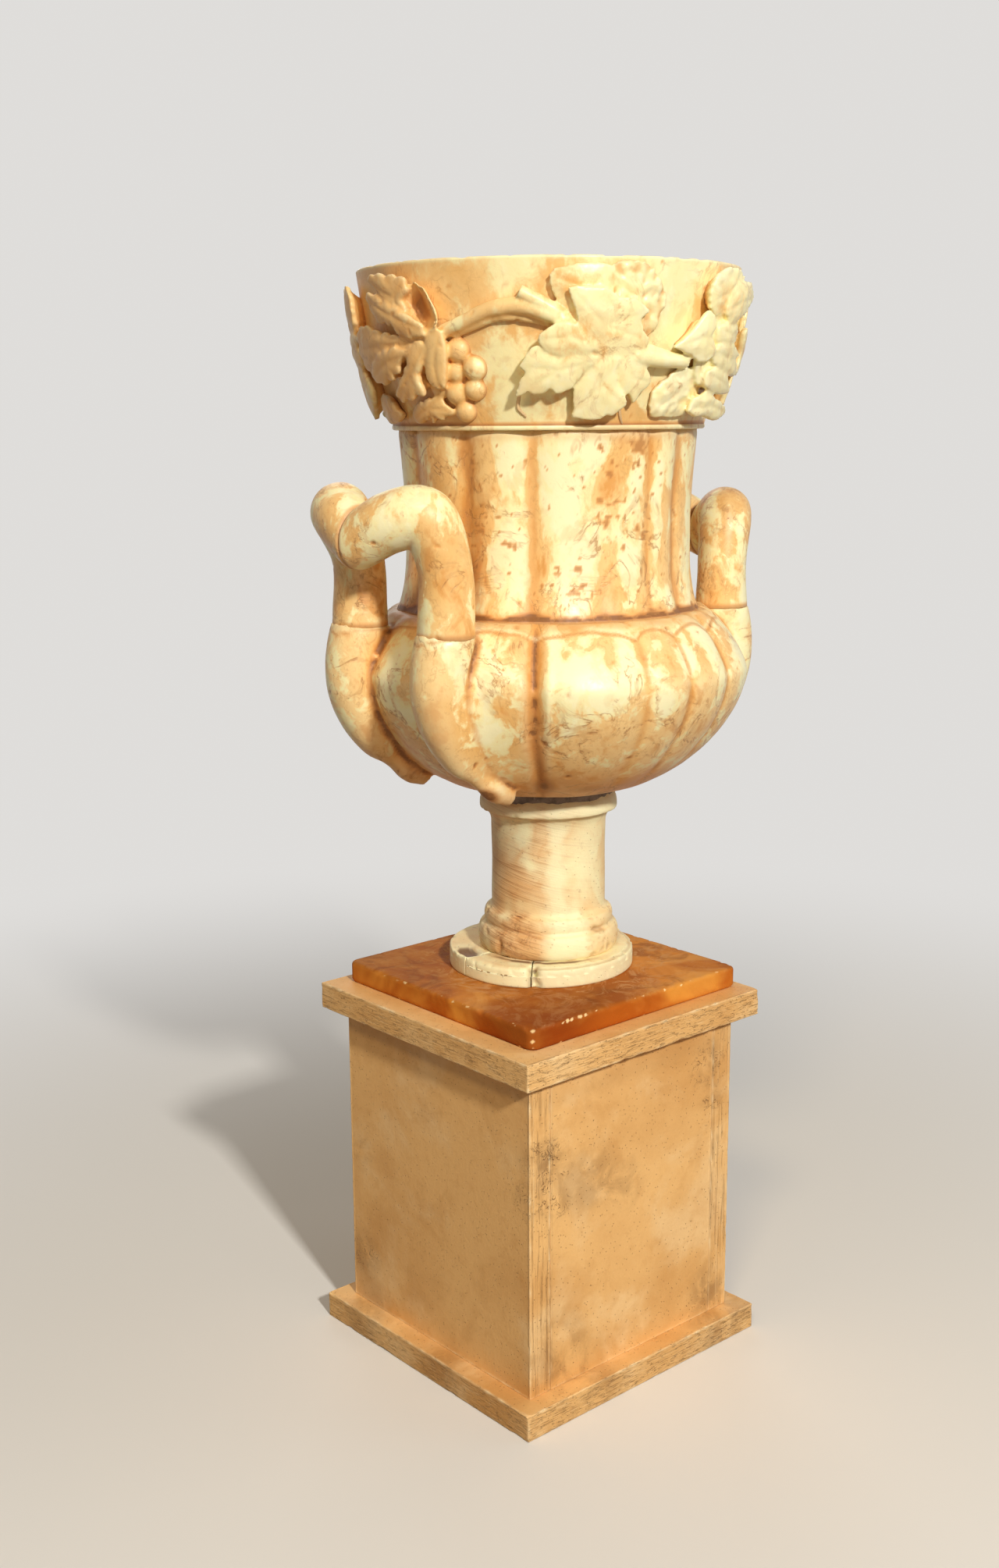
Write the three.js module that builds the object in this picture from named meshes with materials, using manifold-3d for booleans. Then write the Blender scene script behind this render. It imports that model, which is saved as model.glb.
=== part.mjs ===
// Marble vase with vine-leaf band and looped handles, on an onyx plate and a stone pedestal.
// Millimetres, +Z up. The origin is the centre of the pedestal's underside.
// The handles stand on the X axis, and the pedestal's sides run along X and Y.
import * as THREE from 'three';
import { mergeVertices } from 'three/addons/utils/BufferGeometryUtils.js';
import Module from 'manifold-3d';

const wasm = await Module();
wasm.setup();

// Joints
const glueJoint = 0.3;
const threadClearance = 0.3;

// Pedestal: two slabs and a hollow box of four sawn panels
const baseSide = 240;
const capSide = 238;
const slabThickness = 20;
const boxSide = 209;
const boxHeight = 242;
const panelThickness = 20;

// Onyx plate under the vase, laid a little off the pedestal's centre
const plateSide = 212;
const plateThickness = 16;
const plateCorner = 7;
const plateEdge = 2;
const plateShift = [6, 3];

// Vase axis seen from the pedestal's centre, and the foot disc seen from the vase axis
const vaseShift = [16, 6];
const discShift = [-4, 4];
const discRadius = 70.5;
const discThickness = 15;
const discCrackAngles = [-186, -139, 20];
const crackWidth = 0.4;

// Turned stem
const stemHeight = 124;
const shaftRadius = 43.2;
const footRadius = 54;
const footHeight = 18;
const footRound = 3.5;
const rollRadius = 49.2;
const rollHeight = 12;
const rollRound = 3;
const rollFillet = 5;
const lipRadius = 52;
const lipTopRadius = 50.5;
const lipHeight = 13;
const flareHeight = 20;

// Mortar bed between stem and bowl
const mortarThickness = 3;
const mortarSetback = 1.5;

// Bowl
const bowlHeight = 133;
const bowlFootRadius = 56;
const bellyRadius = 148.5;
const bellyHeight = 90;
const bowlLedge = 2;
const undersideFullness = 1.65;
const shoulderFullness = 1.35;
const hollowRadius = 128.5;
const hollowFootRadius = 51;
const hollowShoulder = 32;
const bowlFloor = 28;

// Neck
const neckHeight = 128;
const neckFootRadius = 112;
const waistRadius = 105;
const waistHeight = 54;
const neckTopRadius = 109.5;
const neckBore = 88;

// Vine band
const bandHeight = 110;
const bandOverhang = 3.5;
const bandLipHeight = 6;
const bandLipStep = 2;
const bandTopRadius = 137;
const bandSwell = 3;
const bandWall = 17;
const leafCount = 6;
const leafRadius = 50;
const leafLift = 12;
const leafHeightOnBand = 60;
const leafLobes = 5.5;
const leafLobeDepth = 0.2;
const leafEdge = 20;
const bunchTurn = 24;
const bunchWidth = 17;
const bunchLength = 34;
const bunchLift = 10;
const bunchHeightOnBand = 44;
const vineHeightOnBand = 66;
const vineWave = 14;
const vineRadius = 6;

// Lobes of bowl and neck: grooves at these angles from the handle axis, in every quadrant
const grooveAngles = [16, 45, 75, 90];
const bowlGrooves = [4, 8.5, 4, 2.5];
const neckGrooves = [3, 5, 2.5, 2];
const lobeFacets = [6, 6, 6, 3];
const lobeRoundness = 2.6;

// Handle arms: where they stand, and how the free loops rise, lean out and meet
const armStandoff = 1.2;
const armSpacing = 48;
const armRadius = 20;
const armSeamHeight = 126;
const armBellyProud = 5;
const armTipHeight = 13;
const armTipRadius = 7;
const springHeight = 46;
const springRadius = 18.5;
const archLean = 10;
const archSpacing = 41;
const archHeight = 79;
const archRadius = 20.5;
const bendLean = 25;
const bendSpacing = 23;
const bendHeight = 77;
const bendRadius = 20.5;
const bridgeLean = 34;
const bridgeHeight = 64;
const bridgeRadius = 19;
const bridgeDip = 5;
const leftRearLean = 9;
const rightHandleDrop = 11;

// Tie rod through plate, disc, stem, mortar and bowl floor
const rodRadius = 4;
const rodHole = 6;
const nutWidth = 13;
const nutHeight = 6.5;
const washerRadius = 12;
const washerThickness = 2;
const rodOverhang = 3;
const rodStub = 1;
const rodEndSpare = 0.5;
const counterboreClearance = 1;

// Fineness of the round stretches
const turnedFacets = 40;
const discFacets = 16;
const rodFacets = 20;
const boreFacets = 32;
const bandFacets = 120;
const bandRows = 12;
const neckRows = 7;
const barFacets = 12;
const loopSteps = 20;
const armSteps = 8;

// Levels from the ground up
const boxBottom = slabThickness;
const capBottom = boxBottom + boxHeight;
const plateBottom = capBottom + slabThickness;
const discBottom = plateBottom + plateThickness;
const stemBottom = discBottom + discThickness;
const mortarBottom = stemBottom + stemHeight;
const bowlBottom = mortarBottom + mortarThickness;
const neckBottom = bowlBottom + bowlHeight;
const bandBottom = neckBottom + neckHeight;
const armSeam = bowlBottom + armSeamHeight;

// Sizes that follow from a neighbour
const bowlTopRadius = neckFootRadius + bowlLedge;
const mortarRadius = lipTopRadius - mortarSetback;
const bandLipRadius = neckTopRadius + bandOverhang;
const armCircle = Math.max(bowlRadius(armSeamHeight), neckFootRadius) + armStandoff + armRadius;
const armReach = reachAtSpacing(armCircle);
const armBellyReach = reachAtSpacing(bellyRadius) + armBellyProud;
const armTipReach = reachAtSpacing(bowlRadius(armTipHeight));
const discBore = rodHole + Math.hypot(...discShift);
const counterboreDepth = washerThickness + nutHeight + rodStub + rodEndSpare;
const lowerWasherBottom = plateBottom + counterboreDepth - washerThickness;
const upperWasherBottom = bowlBottom + bowlFloor;
const rodBottom = lowerWasherBottom - nutHeight - rodStub;
const rodTop = upperWasherBottom + washerThickness + nutHeight + rodOverhang;

// Stone and metal colours
const vaseMarble = new THREE.MeshStandardMaterial({ color: 0xe6cfa8, roughness: 0.38, metalness: 0 });
const footMarble = new THREE.MeshStandardMaterial({ color: 0xe8d2b4, roughness: 0.5, metalness: 0 });
const honeyOnyx = new THREE.MeshStandardMaterial({ color: 0x9c5a22, roughness: 0.3, metalness: 0 });
const sandStone = new THREE.MeshStandardMaterial({ color: 0xc4a678, roughness: 0.6, metalness: 0 });
const greyMortar = new THREE.MeshStandardMaterial({ color: 0x837d78, roughness: 0.95, metalness: 0 });
const ironBlack = new THREE.MeshStandardMaterial({ color: 0x4a443e, roughness: 0.55, metalness: 1 });

// Closed meshes become solids for cutting and joining, and come back as plain geometry
function solidOf(geometry) {
  const bare = geometry.index ? geometry.toNonIndexed() : geometry.clone();
  bare.deleteAttribute('normal');
  bare.deleteAttribute('uv');
  const merged = mergeVertices(bare, 1e-4);
  return new wasm.Manifold(new wasm.Mesh({
    numProp: 3,
    vertProperties: new Float32Array(merged.attributes.position.array),
    triVerts: new Uint32Array(merged.index.array),
  }));
}

function geometryOf(solid) {
  const mesh = solid.getMesh();
  const geometry = new THREE.BufferGeometry();
  const points = new Float32Array((mesh.vertProperties.length / mesh.numProp) * 3);
  for (let i = 0; i < points.length / 3; i += 1) {
    for (let k = 0; k < 3; k += 1) points[3 * i + k] = mesh.vertProperties[mesh.numProp * i + k];
  }
  geometry.setAttribute('position', new THREE.BufferAttribute(points, 3));
  geometry.setIndex(new THREE.BufferAttribute(new Uint32Array(mesh.triVerts), 1));
  return geometry;
}

// A ring around Z: one closed outline of [radius, height] points for every angle, in degrees
function ringSolid(angles, outlineAt) {
  const outlines = angles.map((angle) => outlineAt(angle));
  const rows = outlines[0].length;
  const points = [];
  outlines.forEach((outline, i) => {
    const turn = THREE.MathUtils.degToRad(angles[i]);
    outline.forEach(([radius, z]) => points.push(radius * Math.cos(turn), radius * Math.sin(turn), z));
  });
  const faces = [];
  for (let i = 0; i < angles.length; i += 1) {
    const next = (i + 1) % angles.length;
    for (let j = 0; j < rows; j += 1) {
      const up = (j + 1) % rows;
      const [a, b, c, d] = [i * rows + j, next * rows + j, next * rows + up, i * rows + up];
      faces.push(a, b, c, a, c, d);
    }
  }
  const geometry = new THREE.BufferGeometry();
  geometry.setAttribute('position', new THREE.Float32BufferAttribute(points, 3));
  geometry.setIndex(faces);
  return geometry;
}

function evenAngles(count) {
  return Array.from({ length: count }, (_, i) => (360 * i) / count);
}

// A turned piece: a closed outline around the axis, with its bore
function turned(outline, facets) {
  return ringSolid(evenAngles(facets), () => outline);
}

function cylinder(radius, height, bottom, facets) {
  const geometry = new THREE.CylinderGeometry(radius, radius, height, facets);
  geometry.rotateX(Math.PI / 2);
  geometry.translate(0, 0, bottom + height / 2);
  return geometry;
}

function block(width, depth, height, bottom) {
  return new THREE.BoxGeometry(width, depth, height).translate(0, 0, bottom + height / 2);
}

// Points on a quarter or half of an ellipse, for mouldings
function arcPoints(centre, radii, from, to, steps) {
  return Array.from({ length: steps + 1 }, (_, i) => {
    const turn = THREE.MathUtils.degToRad(from + ((to - from) * i) / steps);
    return [centre[0] + radii[0] * Math.cos(turn), centre[1] + radii[1] * Math.sin(turn)];
  });
}

// Angle from the handle axis, folded into one quadrant
function foldedAngle(angle) {
  const half = ((angle % 180) + 180) % 180;
  return half > 90 ? 180 - half : half;
}

// How far the surface is cut in at an angle: round lobes that meet in grooves
function grooveInset(angle, depths) {
  const folded = foldedAngle(angle);
  const k = grooveAngles.findIndex((edge) => folded <= edge + 1e-6);
  if (k === 0) return depths[0] * (folded / grooveAngles[0]) ** lobeRoundness;
  const middle = (grooveAngles[k - 1] + grooveAngles[k]) / 2;
  const half = (grooveAngles[k] - grooveAngles[k - 1]) / 2;
  const t = (folded - middle) / half;
  return (t < 0 ? depths[k - 1] : depths[k]) * Math.min(1, Math.abs(t)) ** lobeRoundness;
}

// Angles all round that fall exactly on the grooves
function lobeAngles() {
  const edges = [];
  for (const quadrant of [0, 180]) {
    edges.push(...grooveAngles.map((a) => quadrant + a));
    edges.push(...grooveAngles.slice(0, -1).reverse().map((a) => quadrant + 180 - a));
  }
  const counts = [...lobeFacets.slice(1), ...lobeFacets.slice(1).reverse(), lobeFacets[0]];
  const angles = [];
  edges.forEach((edge, i) => {
    const next = i + 1 < edges.length ? edges[i + 1] : edges[0] + 360;
    const count = counts[i % counts.length];
    for (let s = 0; s < count; s += 1) angles.push(edge + ((next - edge) * s) / count);
  });
  return angles;
}

// Superellipse: 1 at height 0, 0 at height 1
function fullness(height, exponent) {
  return Math.max(0, 1 - Math.abs(height) ** exponent) ** (1 / exponent);
}

// Distance along the handle axis of a point on a circle, beside that axis by the arm's spacing
function reachAtSpacing(radius) {
  return Math.sqrt(Math.max(0, radius ** 2 - armSpacing ** 2));
}

// Outer radius of the bowl's lobes at a height above its foot
function bowlRadius(height) {
  if (height <= bellyHeight) {
    const swell = fullness((bellyHeight - height) / bellyHeight, undersideFullness);
    return bowlFootRadius + (bellyRadius - bowlFootRadius) * swell;
  }
  const swell = fullness((height - bellyHeight) / (bowlHeight - bellyHeight), shoulderFullness);
  return bowlTopRadius + (bellyRadius - bowlTopRadius) * swell;
}

function bowlOuter(angle) {
  const inset = grooveInset(angle, bowlGrooves);
  const heights = [
    ...arcPoints([0, bellyHeight], [1, bellyHeight], -90, 0, 8).map((p) => p[1]),
    ...arcPoints([0, bellyHeight], [1, bowlHeight - bellyHeight], 0, 90, 5).slice(1).map((p) => p[1]),
  ];
  return heights.map((height) => {
    const radius = bowlRadius(height);
    const share = (radius - bowlFootRadius) / (bellyRadius - bowlFootRadius);
    return [radius - inset * share, bowlBottom + height];
  });
}

function bowlInner() {
  const middle = bowlBottom + bellyHeight;
  const shoulder = [hollowRadius - neckBore, hollowShoulder];
  const underside = [hollowRadius - hollowFootRadius, bellyHeight - bowlFloor];
  return [
    [neckBore, neckBottom],
    ...arcPoints([neckBore, middle], shoulder, 90, 0, 2),
    ...arcPoints([hollowFootRadius, middle], underside, 0, -90, 4).slice(1),
  ];
}

// Lower arms: half sunk in the belly, running down to a pointed tip under it
function lowerArm(side, front) {
  const centres = [];
  const radii = [];
  for (let i = 0; i <= armSteps; i += 1) {
    const t = i / armSteps;
    const height = THREE.MathUtils.lerp(armSeamHeight, armTipHeight, t);
    let reach = armBellyReach;
    if (height > bellyHeight) {
      const rise = (height - bellyHeight) / (armSeamHeight - bellyHeight);
      reach = THREE.MathUtils.lerp(armBellyReach, armReach, rise ** 2);
    } else {
      const drop = (bellyHeight - height) / (bellyHeight - armTipHeight);
      reach = armTipReach + (armBellyReach - armTipReach) * fullness(drop, undersideFullness);
    }
    centres.push(new THREE.Vector3(side * reach, front * armSpacing, bowlBottom + height));
    radii.push(THREE.MathUtils.lerp(armRadius, armTipRadius, t ** 3));
  }
  return roundBar(centres, radii, new THREE.Vector3(0, 0, -1));
}

// A round bar through the given centres, with a radius at each; its flat start faces along startAlong
function roundBar(centres, radii, startAlong) {
  const points = [];
  const outward = new THREE.Vector3(1, 0, 0);
  centres.forEach((centre, i) => {
    const before = centres[Math.max(0, i - 1)];
    const after = centres[Math.min(centres.length - 1, i + 1)];
    const along = i === 0 ? startAlong : after.clone().sub(before).normalize();
    const across = outward.clone().addScaledVector(along, -outward.dot(along)).normalize();
    const third = along.clone().cross(across);
    for (let s = 0; s < barFacets; s += 1) {
      const turn = (2 * Math.PI * s) / barFacets;
      const point = centre.clone()
        .addScaledVector(across, radii[i] * Math.cos(turn))
        .addScaledVector(third, radii[i] * Math.sin(turn));
      points.push(point.x, point.y, point.z);
    }
  });
  const last = centres.length - 1;
  const faces = [];
  for (let i = 0; i < last; i += 1) {
    for (let s = 0; s < barFacets; s += 1) {
      const next = (s + 1) % barFacets;
      const [a, b] = [i * barFacets + s, i * barFacets + next];
      faces.push(a, b, b + barFacets, a, b + barFacets, a + barFacets);
    }
  }
  for (let s = 1; s < barFacets - 1; s += 1) {
    faces.push(0, s + 1, s);
    faces.push(last * barFacets, last * barFacets + s, last * barFacets + s + 1);
  }
  const geometry = new THREE.BufferGeometry();
  geometry.setAttribute('position', new THREE.Float32BufferAttribute(points, 3));
  geometry.setIndex(faces);
  return geometry;
}

// Half of a handle's free loop: it stands on its lower arm, rises, leans out and runs down to the
// bridge, where a flat joint in the handle's middle meets the other half. lean pushes the arch out,
// and drop lowers it
function halfLoop(side, front, lean, drop) {
  const stations = [
    [armReach, armSpacing, 0, armRadius],
    [armReach, armSpacing, springHeight - drop, springRadius],
    [armReach + archLean + lean, archSpacing, archHeight - drop, archRadius],
    [armReach + bendLean + lean / 2, bendSpacing, bendHeight - drop, bendRadius],
    [armReach + bridgeLean, 0, bridgeHeight - drop, bridgeRadius],
    [armReach + bridgeLean, -bridgeRadius, bridgeHeight - bridgeDip - drop, bridgeRadius],
  ];
  const path = new THREE.CatmullRomCurve3(stations.map(([reach, across, rise]) => (
    new THREE.Vector3(side * reach, front * across, armSeam + glueJoint + rise))));
  const girth = new THREE.CatmullRomCurve3(stations.map((station) => (
    new THREE.Vector3(station[3], 0, 0))));
  const radii = girth.getPoints(loopSteps).map((point) => point.x);
  const bar = roundBar(path.getPoints(loopSteps), radii, new THREE.Vector3(0, 0, 1));
  const span = 4 * (armReach + bridgeLean);
  const keep = new THREE.BoxGeometry(span, span, span);
  keep.translate(0, (front * (span + glueJoint)) / 2, armSeam);
  return geometryOf(solidOf(bar).intersect(solidOf(keep)));
}

function neckRadius(height) {
  if (height < waistHeight) {
    return waistRadius + (neckFootRadius - waistRadius) * (1 - height / waistHeight) ** 3;
  }
  const rise = (height - waistHeight) / (neckHeight - waistHeight);
  return waistRadius + (neckTopRadius - waistRadius) * rise ** 2;
}

function neckOutline(angle) {
  const inset = grooveInset(angle, neckGrooves);
  const outer = Array.from({ length: neckRows + 1 }, (_, j) => {
    const height = (neckHeight * j) / neckRows;
    return [neckRadius(height) - inset, neckBottom + height];
  });
  return [...outer, [neckBore, bandBottom], [neckBore, neckBottom]];
}

// Height of the carved vine above the band's plain surface, at an angle and a height on the band
function vineRelief(angle, height) {
  const pitch = 360 / leafCount;
  const offset = (((angle + pitch / 2) % pitch) + pitch) % pitch - pitch / 2;
  const arcLength = (turn) => (THREE.MathUtils.degToRad(turn) * (bandLipRadius + bandTopRadius)) / 2;
  const across = arcLength(offset);
  const up = height - leafHeightOnBand;
  const distance = Math.hypot(across, up);
  const bearing = Math.atan2(across, -up);
  const reach = leafRadius * (1 - leafLobeDepth + leafLobeDepth * Math.cos(leafLobes * bearing));
  const leaf = leafLift * THREE.MathUtils.smoothstep(reach - distance, 0, leafEdge);
  const bunchAcross = (arcLength(offset - bunchTurn)) / bunchWidth;
  const bunchUp = (height - bunchHeightOnBand) / bunchLength;
  const bunch = bunchLift * Math.sqrt(Math.max(0, 1 - bunchAcross ** 2 - bunchUp ** 2));
  const wave = vineHeightOnBand + vineWave * Math.sin(THREE.MathUtils.degToRad(leafCount * angle));
  const vine = Math.sqrt(Math.max(0, vineRadius ** 2 - (height - wave) ** 2));
  return Math.max(leaf, bunch, vine);
}

function bandRadius(height) {
  const rise = (height - bandLipHeight) / (bandHeight - bandLipHeight);
  const foot = bandLipRadius - bandLipStep;
  return foot + (bandTopRadius - foot) * rise + bandSwell * Math.sin(Math.PI * rise);
}

function bandOutline(angle) {
  const outer = Array.from({ length: bandRows + 1 }, (_, j) => {
    const height = bandLipHeight + ((bandHeight - bandLipHeight) * j) / bandRows;
    const edge = j === 0 || j === bandRows;
    return [bandRadius(height) + (edge ? 0 : vineRelief(angle, height)), bandBottom + height];
  });
  return [
    [bandLipRadius, bandBottom],
    [bandLipRadius, bandBottom + bandLipHeight - bandLipStep],
    ...outer,
    [bandTopRadius - bandWall, bandBottom + bandHeight],
    [neckBore, bandBottom],
  ];
}

function stemOutline() {
  const rollTop = footHeight + rollHeight;
  const flareBottom = stemHeight - lipHeight - flareHeight;
  const rollCentre = [rollRadius - rollRound, footHeight + rollHeight / 2];
  return [
    [rodHole, 0],
    ...arcPoints([footRadius - footRound, footHeight / 2], [footRound, footHeight / 2], -90, 90, 5),
    ...arcPoints(rollCentre, [rollRound, rollHeight / 2], -60, 90, 4),
    ...arcPoints([shaftRadius + rollFillet, rollTop + rollFillet], [rollFillet, rollFillet], 225, 180, 2),
    ...arcPoints([lipRadius, flareBottom], [shaftRadius - lipRadius, flareHeight], 0, 90, 5),
    [lipTopRadius, stemHeight],
    [rodHole, stemHeight],
  ].map(([radius, height]) => [radius, stemBottom + height]);
}

// A fragment of the cracked foot disc, between two cracks
function discFragment(from, to) {
  const gap = (radius) => crackWidth / 2 / radius;
  const start = THREE.MathUtils.degToRad(from);
  const end = THREE.MathUtils.degToRad(to);
  const shape = new THREE.Shape();
  shape.absarc(0, 0, discRadius, start + gap(discRadius), end - gap(discRadius), false);
  shape.absarc(0, 0, discBore, end - gap(discBore), start + gap(discBore), true);
  shape.closePath();
  const geometry = new THREE.ExtrudeGeometry(shape, {
    depth: discThickness, bevelEnabled: false, curveSegments: discFacets,
  });
  return geometry.translate(0, 0, discBottom);
}

function hexNut(bottom) {
  const shape = new THREE.Shape();
  const corner = nutWidth / 2 / Math.cos(Math.PI / 6);
  for (let i = 0; i < 6; i += 1) {
    const turn = (Math.PI * i) / 3;
    shape[i === 0 ? 'moveTo' : 'lineTo'](corner * Math.cos(turn), corner * Math.sin(turn));
  }
  shape.closePath();
  const hole = new THREE.Path();
  hole.absarc(0, 0, rodRadius + threadClearance, 0, 2 * Math.PI, true);
  shape.holes.push(hole);
  const geometry = new THREE.ExtrudeGeometry(shape, {
    depth: nutHeight, bevelEnabled: false, curveSegments: rodFacets / 2,
  });
  return geometry.translate(0, 0, bottom);
}

function washer(bottom) {
  const hole = rodRadius + threadClearance;
  return turned([
    [hole, bottom],
    [washerRadius, bottom],
    [washerRadius, bottom + washerThickness],
    [hole, bottom + washerThickness],
  ], rodFacets);
}

// The onyx plate has rounded corners, a rod hole, and a counterbore for the lower nut
function onyxPlate() {
  const side = plateSide / 2 - plateEdge;
  const corner = plateCorner - plateEdge;
  const shape = new THREE.Shape();
  shape.absarc(side - corner, side - corner, corner, 0, Math.PI / 2, false);
  shape.absarc(corner - side, side - corner, corner, Math.PI / 2, Math.PI, false);
  shape.absarc(corner - side, corner - side, corner, Math.PI, 1.5 * Math.PI, false);
  shape.absarc(side - corner, corner - side, corner, 1.5 * Math.PI, 2 * Math.PI, false);
  shape.closePath();
  const slab = new THREE.ExtrudeGeometry(shape, {
    depth: plateThickness - 2 * plateEdge,
    bevelThickness: plateEdge,
    bevelSize: plateEdge,
    bevelSegments: 2,
    curveSegments: 4,
  });
  slab.translate(plateShift[0], plateShift[1], plateBottom + plateEdge);
  const bore = cylinder(rodHole, 2 * plateThickness, plateBottom - plateThickness / 2, boreFacets);
  const recess = counterboreDepth + plateThickness;
  const recessRadius = washerRadius + counterboreClearance;
  const counterbore = cylinder(recessRadius, recess, plateBottom - plateThickness, boreFacets);
  for (const tool of [bore, counterbore]) tool.translate(vaseShift[0], vaseShift[1], 0);
  return geometryOf(solidOf(slab).subtract(solidOf(bore)).subtract(solidOf(counterbore)));
}

const object = new THREE.Group();
const vase = new THREE.Group();
vase.position.set(vaseShift[0], vaseShift[1], 0);
object.add(vase);

function add(name, geometry, material, parent = object) {
  const mesh = new THREE.Mesh(geometry, material);
  mesh.name = name;
  parent.add(mesh);
  return mesh;
}

add('base_slab', block(baseSide, baseSide, slabThickness, 0), sandStone);
add('cap_slab', block(capSide, capSide, slabThickness, capBottom), sandStone);

const panelCentre = (boxSide - panelThickness) / 2;
const insetWidth = boxSide - 2 * (panelThickness + glueJoint);
for (const [name, side] of [['panel_left', -1], ['panel_right', 1]]) {
  const panel = add(name, block(panelThickness, boxSide, boxHeight, boxBottom), sandStone);
  panel.position.x = side * panelCentre;
}
for (const [name, side] of [['panel_front', -1], ['panel_back', 1]]) {
  const panel = add(name, block(insetWidth, panelThickness, boxHeight, boxBottom), sandStone);
  panel.position.y = side * panelCentre;
}

add('onyx_plate', onyxPlate(), honeyOnyx);

const fragmentNames = ['disc_front_left', 'disc_front_right', 'disc_rear'];
discCrackAngles.forEach((crack, i) => {
  const next = i + 1 < discCrackAngles.length ? discCrackAngles[i + 1] : discCrackAngles[0] + 360;
  const fragment = add(fragmentNames[i], discFragment(crack, next), footMarble, vase);
  fragment.position.set(discShift[0], discShift[1], 0);
});

add('stem', turned(stemOutline(), turnedFacets), footMarble, vase);
add('mortar_bed', turned([
  [rodHole, mortarBottom],
  [mortarRadius, mortarBottom],
  [mortarRadius, bowlBottom],
  [rodHole, bowlBottom],
], turnedFacets), greyMortar, vase);

const bowlOutline = (angle) => [[rodHole, bowlBottom], ...bowlOuter(angle), ...bowlInner(),
  [rodHole, bowlBottom + bowlFloor]];
let bowl = solidOf(ringSolid(lobeAngles(), bowlOutline));
for (const side of [-1, 1]) {
  for (const front of [-1, 1]) bowl = bowl.add(solidOf(lowerArm(side, front)));
}
add('bowl', geometryOf(bowl), vaseMarble, vase);
add('neck', ringSolid(lobeAngles(), neckOutline), vaseMarble, vase);
add('vine_band', ringSolid(evenAngles(bandFacets), bandOutline), vaseMarble, vase);

add('handle_left_front', halfLoop(-1, -1, 0, 0), vaseMarble, vase);
add('handle_left_rear', halfLoop(-1, 1, leftRearLean, 0), vaseMarble, vase);
add('handle_right_front', halfLoop(1, -1, 0, rightHandleDrop), vaseMarble, vase);
add('handle_right_rear', halfLoop(1, 1, 0, rightHandleDrop), vaseMarble, vase);

add('tie_rod', cylinder(rodRadius, rodTop - rodBottom, rodBottom, rodFacets), ironBlack, vase);
add('washer_lower', washer(lowerWasherBottom), ironBlack, vase);
add('nut_lower', hexNut(lowerWasherBottom - nutHeight), ironBlack, vase);
add('washer_upper', washer(upperWasherBottom), ironBlack, vase);
add('nut_upper', hexNut(upperWasherBottom + washerThickness), ironBlack, vase);

export default object;
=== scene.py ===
# Marble vase with a carved vine band and looped handles, on an onyx plate and a stone pedestal.
# Lengths in this script are millimetres until a mesh is made, and angles are degrees.
import math

import bpy
import numpy as np
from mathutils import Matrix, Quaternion, Vector, noise


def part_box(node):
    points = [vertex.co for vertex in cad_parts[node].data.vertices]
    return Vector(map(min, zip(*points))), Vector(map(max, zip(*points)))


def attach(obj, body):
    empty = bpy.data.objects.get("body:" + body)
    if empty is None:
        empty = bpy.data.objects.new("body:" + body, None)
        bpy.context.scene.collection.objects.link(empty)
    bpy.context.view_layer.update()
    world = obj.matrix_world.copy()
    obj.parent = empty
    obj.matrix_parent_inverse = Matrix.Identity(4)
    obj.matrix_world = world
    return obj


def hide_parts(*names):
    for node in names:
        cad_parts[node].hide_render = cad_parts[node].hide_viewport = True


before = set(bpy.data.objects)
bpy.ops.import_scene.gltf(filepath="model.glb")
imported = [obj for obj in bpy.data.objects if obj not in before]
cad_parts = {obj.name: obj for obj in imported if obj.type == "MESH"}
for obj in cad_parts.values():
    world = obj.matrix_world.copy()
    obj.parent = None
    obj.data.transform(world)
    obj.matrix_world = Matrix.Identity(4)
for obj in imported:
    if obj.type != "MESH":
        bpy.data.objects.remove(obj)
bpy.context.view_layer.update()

# Pedestal, base slab: a square slab of beige limestone, sawn 20 mm thick and honed on its faces.
# Its arrises are rubbed and chipped from handling. It is built as a box of fine cells whose edges
# are rounded by an uneven wear.
SLAB_CELL = 5.0
ARRIS_ROUND = 0.8
ARRIS_CHIP = 2.6
CHIP_SIZE = 9.0
EDGE_LINES = (0.4, 0.9, 1.6, 2.6, 4.0)


def unevenness(points, size, seed):
    """Smooth noise between about -1 and 1 at each point, with features of the given size."""
    shift = Vector((17.3 * seed, 5.1 * seed + 3.7, 9.7 * seed))
    return np.array([noise.noise(Vector(point) / size + shift) for point in points])


def near(value, middle, spread):
    """1 at the middle, fading to 0 over the spread."""
    return np.exp(-((value - middle) / spread) ** 2)


def piece_from(name, points, faces, smooth=True):
    """A mesh piece at the origin, from points in millimetres."""
    mesh = bpy.data.meshes.new(name)
    mesh.from_pydata([tuple(point) for point in np.asarray(points) / 1000.0], [], faces)
    mesh.polygons.foreach_set("use_smooth", [smooth] * len(mesh.polygons))
    mesh.update()
    made = bpy.data.objects.new(name, mesh)
    bpy.context.scene.collection.objects.link(made)
    return made


def mesh_points(piece):
    """The mesh's vertices as an array, in millimetres."""
    values = np.empty(3 * len(piece.data.vertices))
    piece.data.vertices.foreach_get("co", values)
    return values.reshape(-1, 3) * 1000.0


def move_points(piece, points):
    piece.data.vertices.foreach_set("co", (np.asarray(points) / 1000.0).ravel())
    piece.data.update()


def mark(piece, name, values):
    """Stores a number for every vertex, which the material reads."""
    layer = piece.data.attributes.new(name, "FLOAT", "POINT")
    layer.data.foreach_set("value", np.clip(values, 0, 1))


def node_box(node):
    """Lowest and highest corner of a node, in millimetres."""
    return [np.array(corner) * 1000.0 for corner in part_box(node)]


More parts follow.
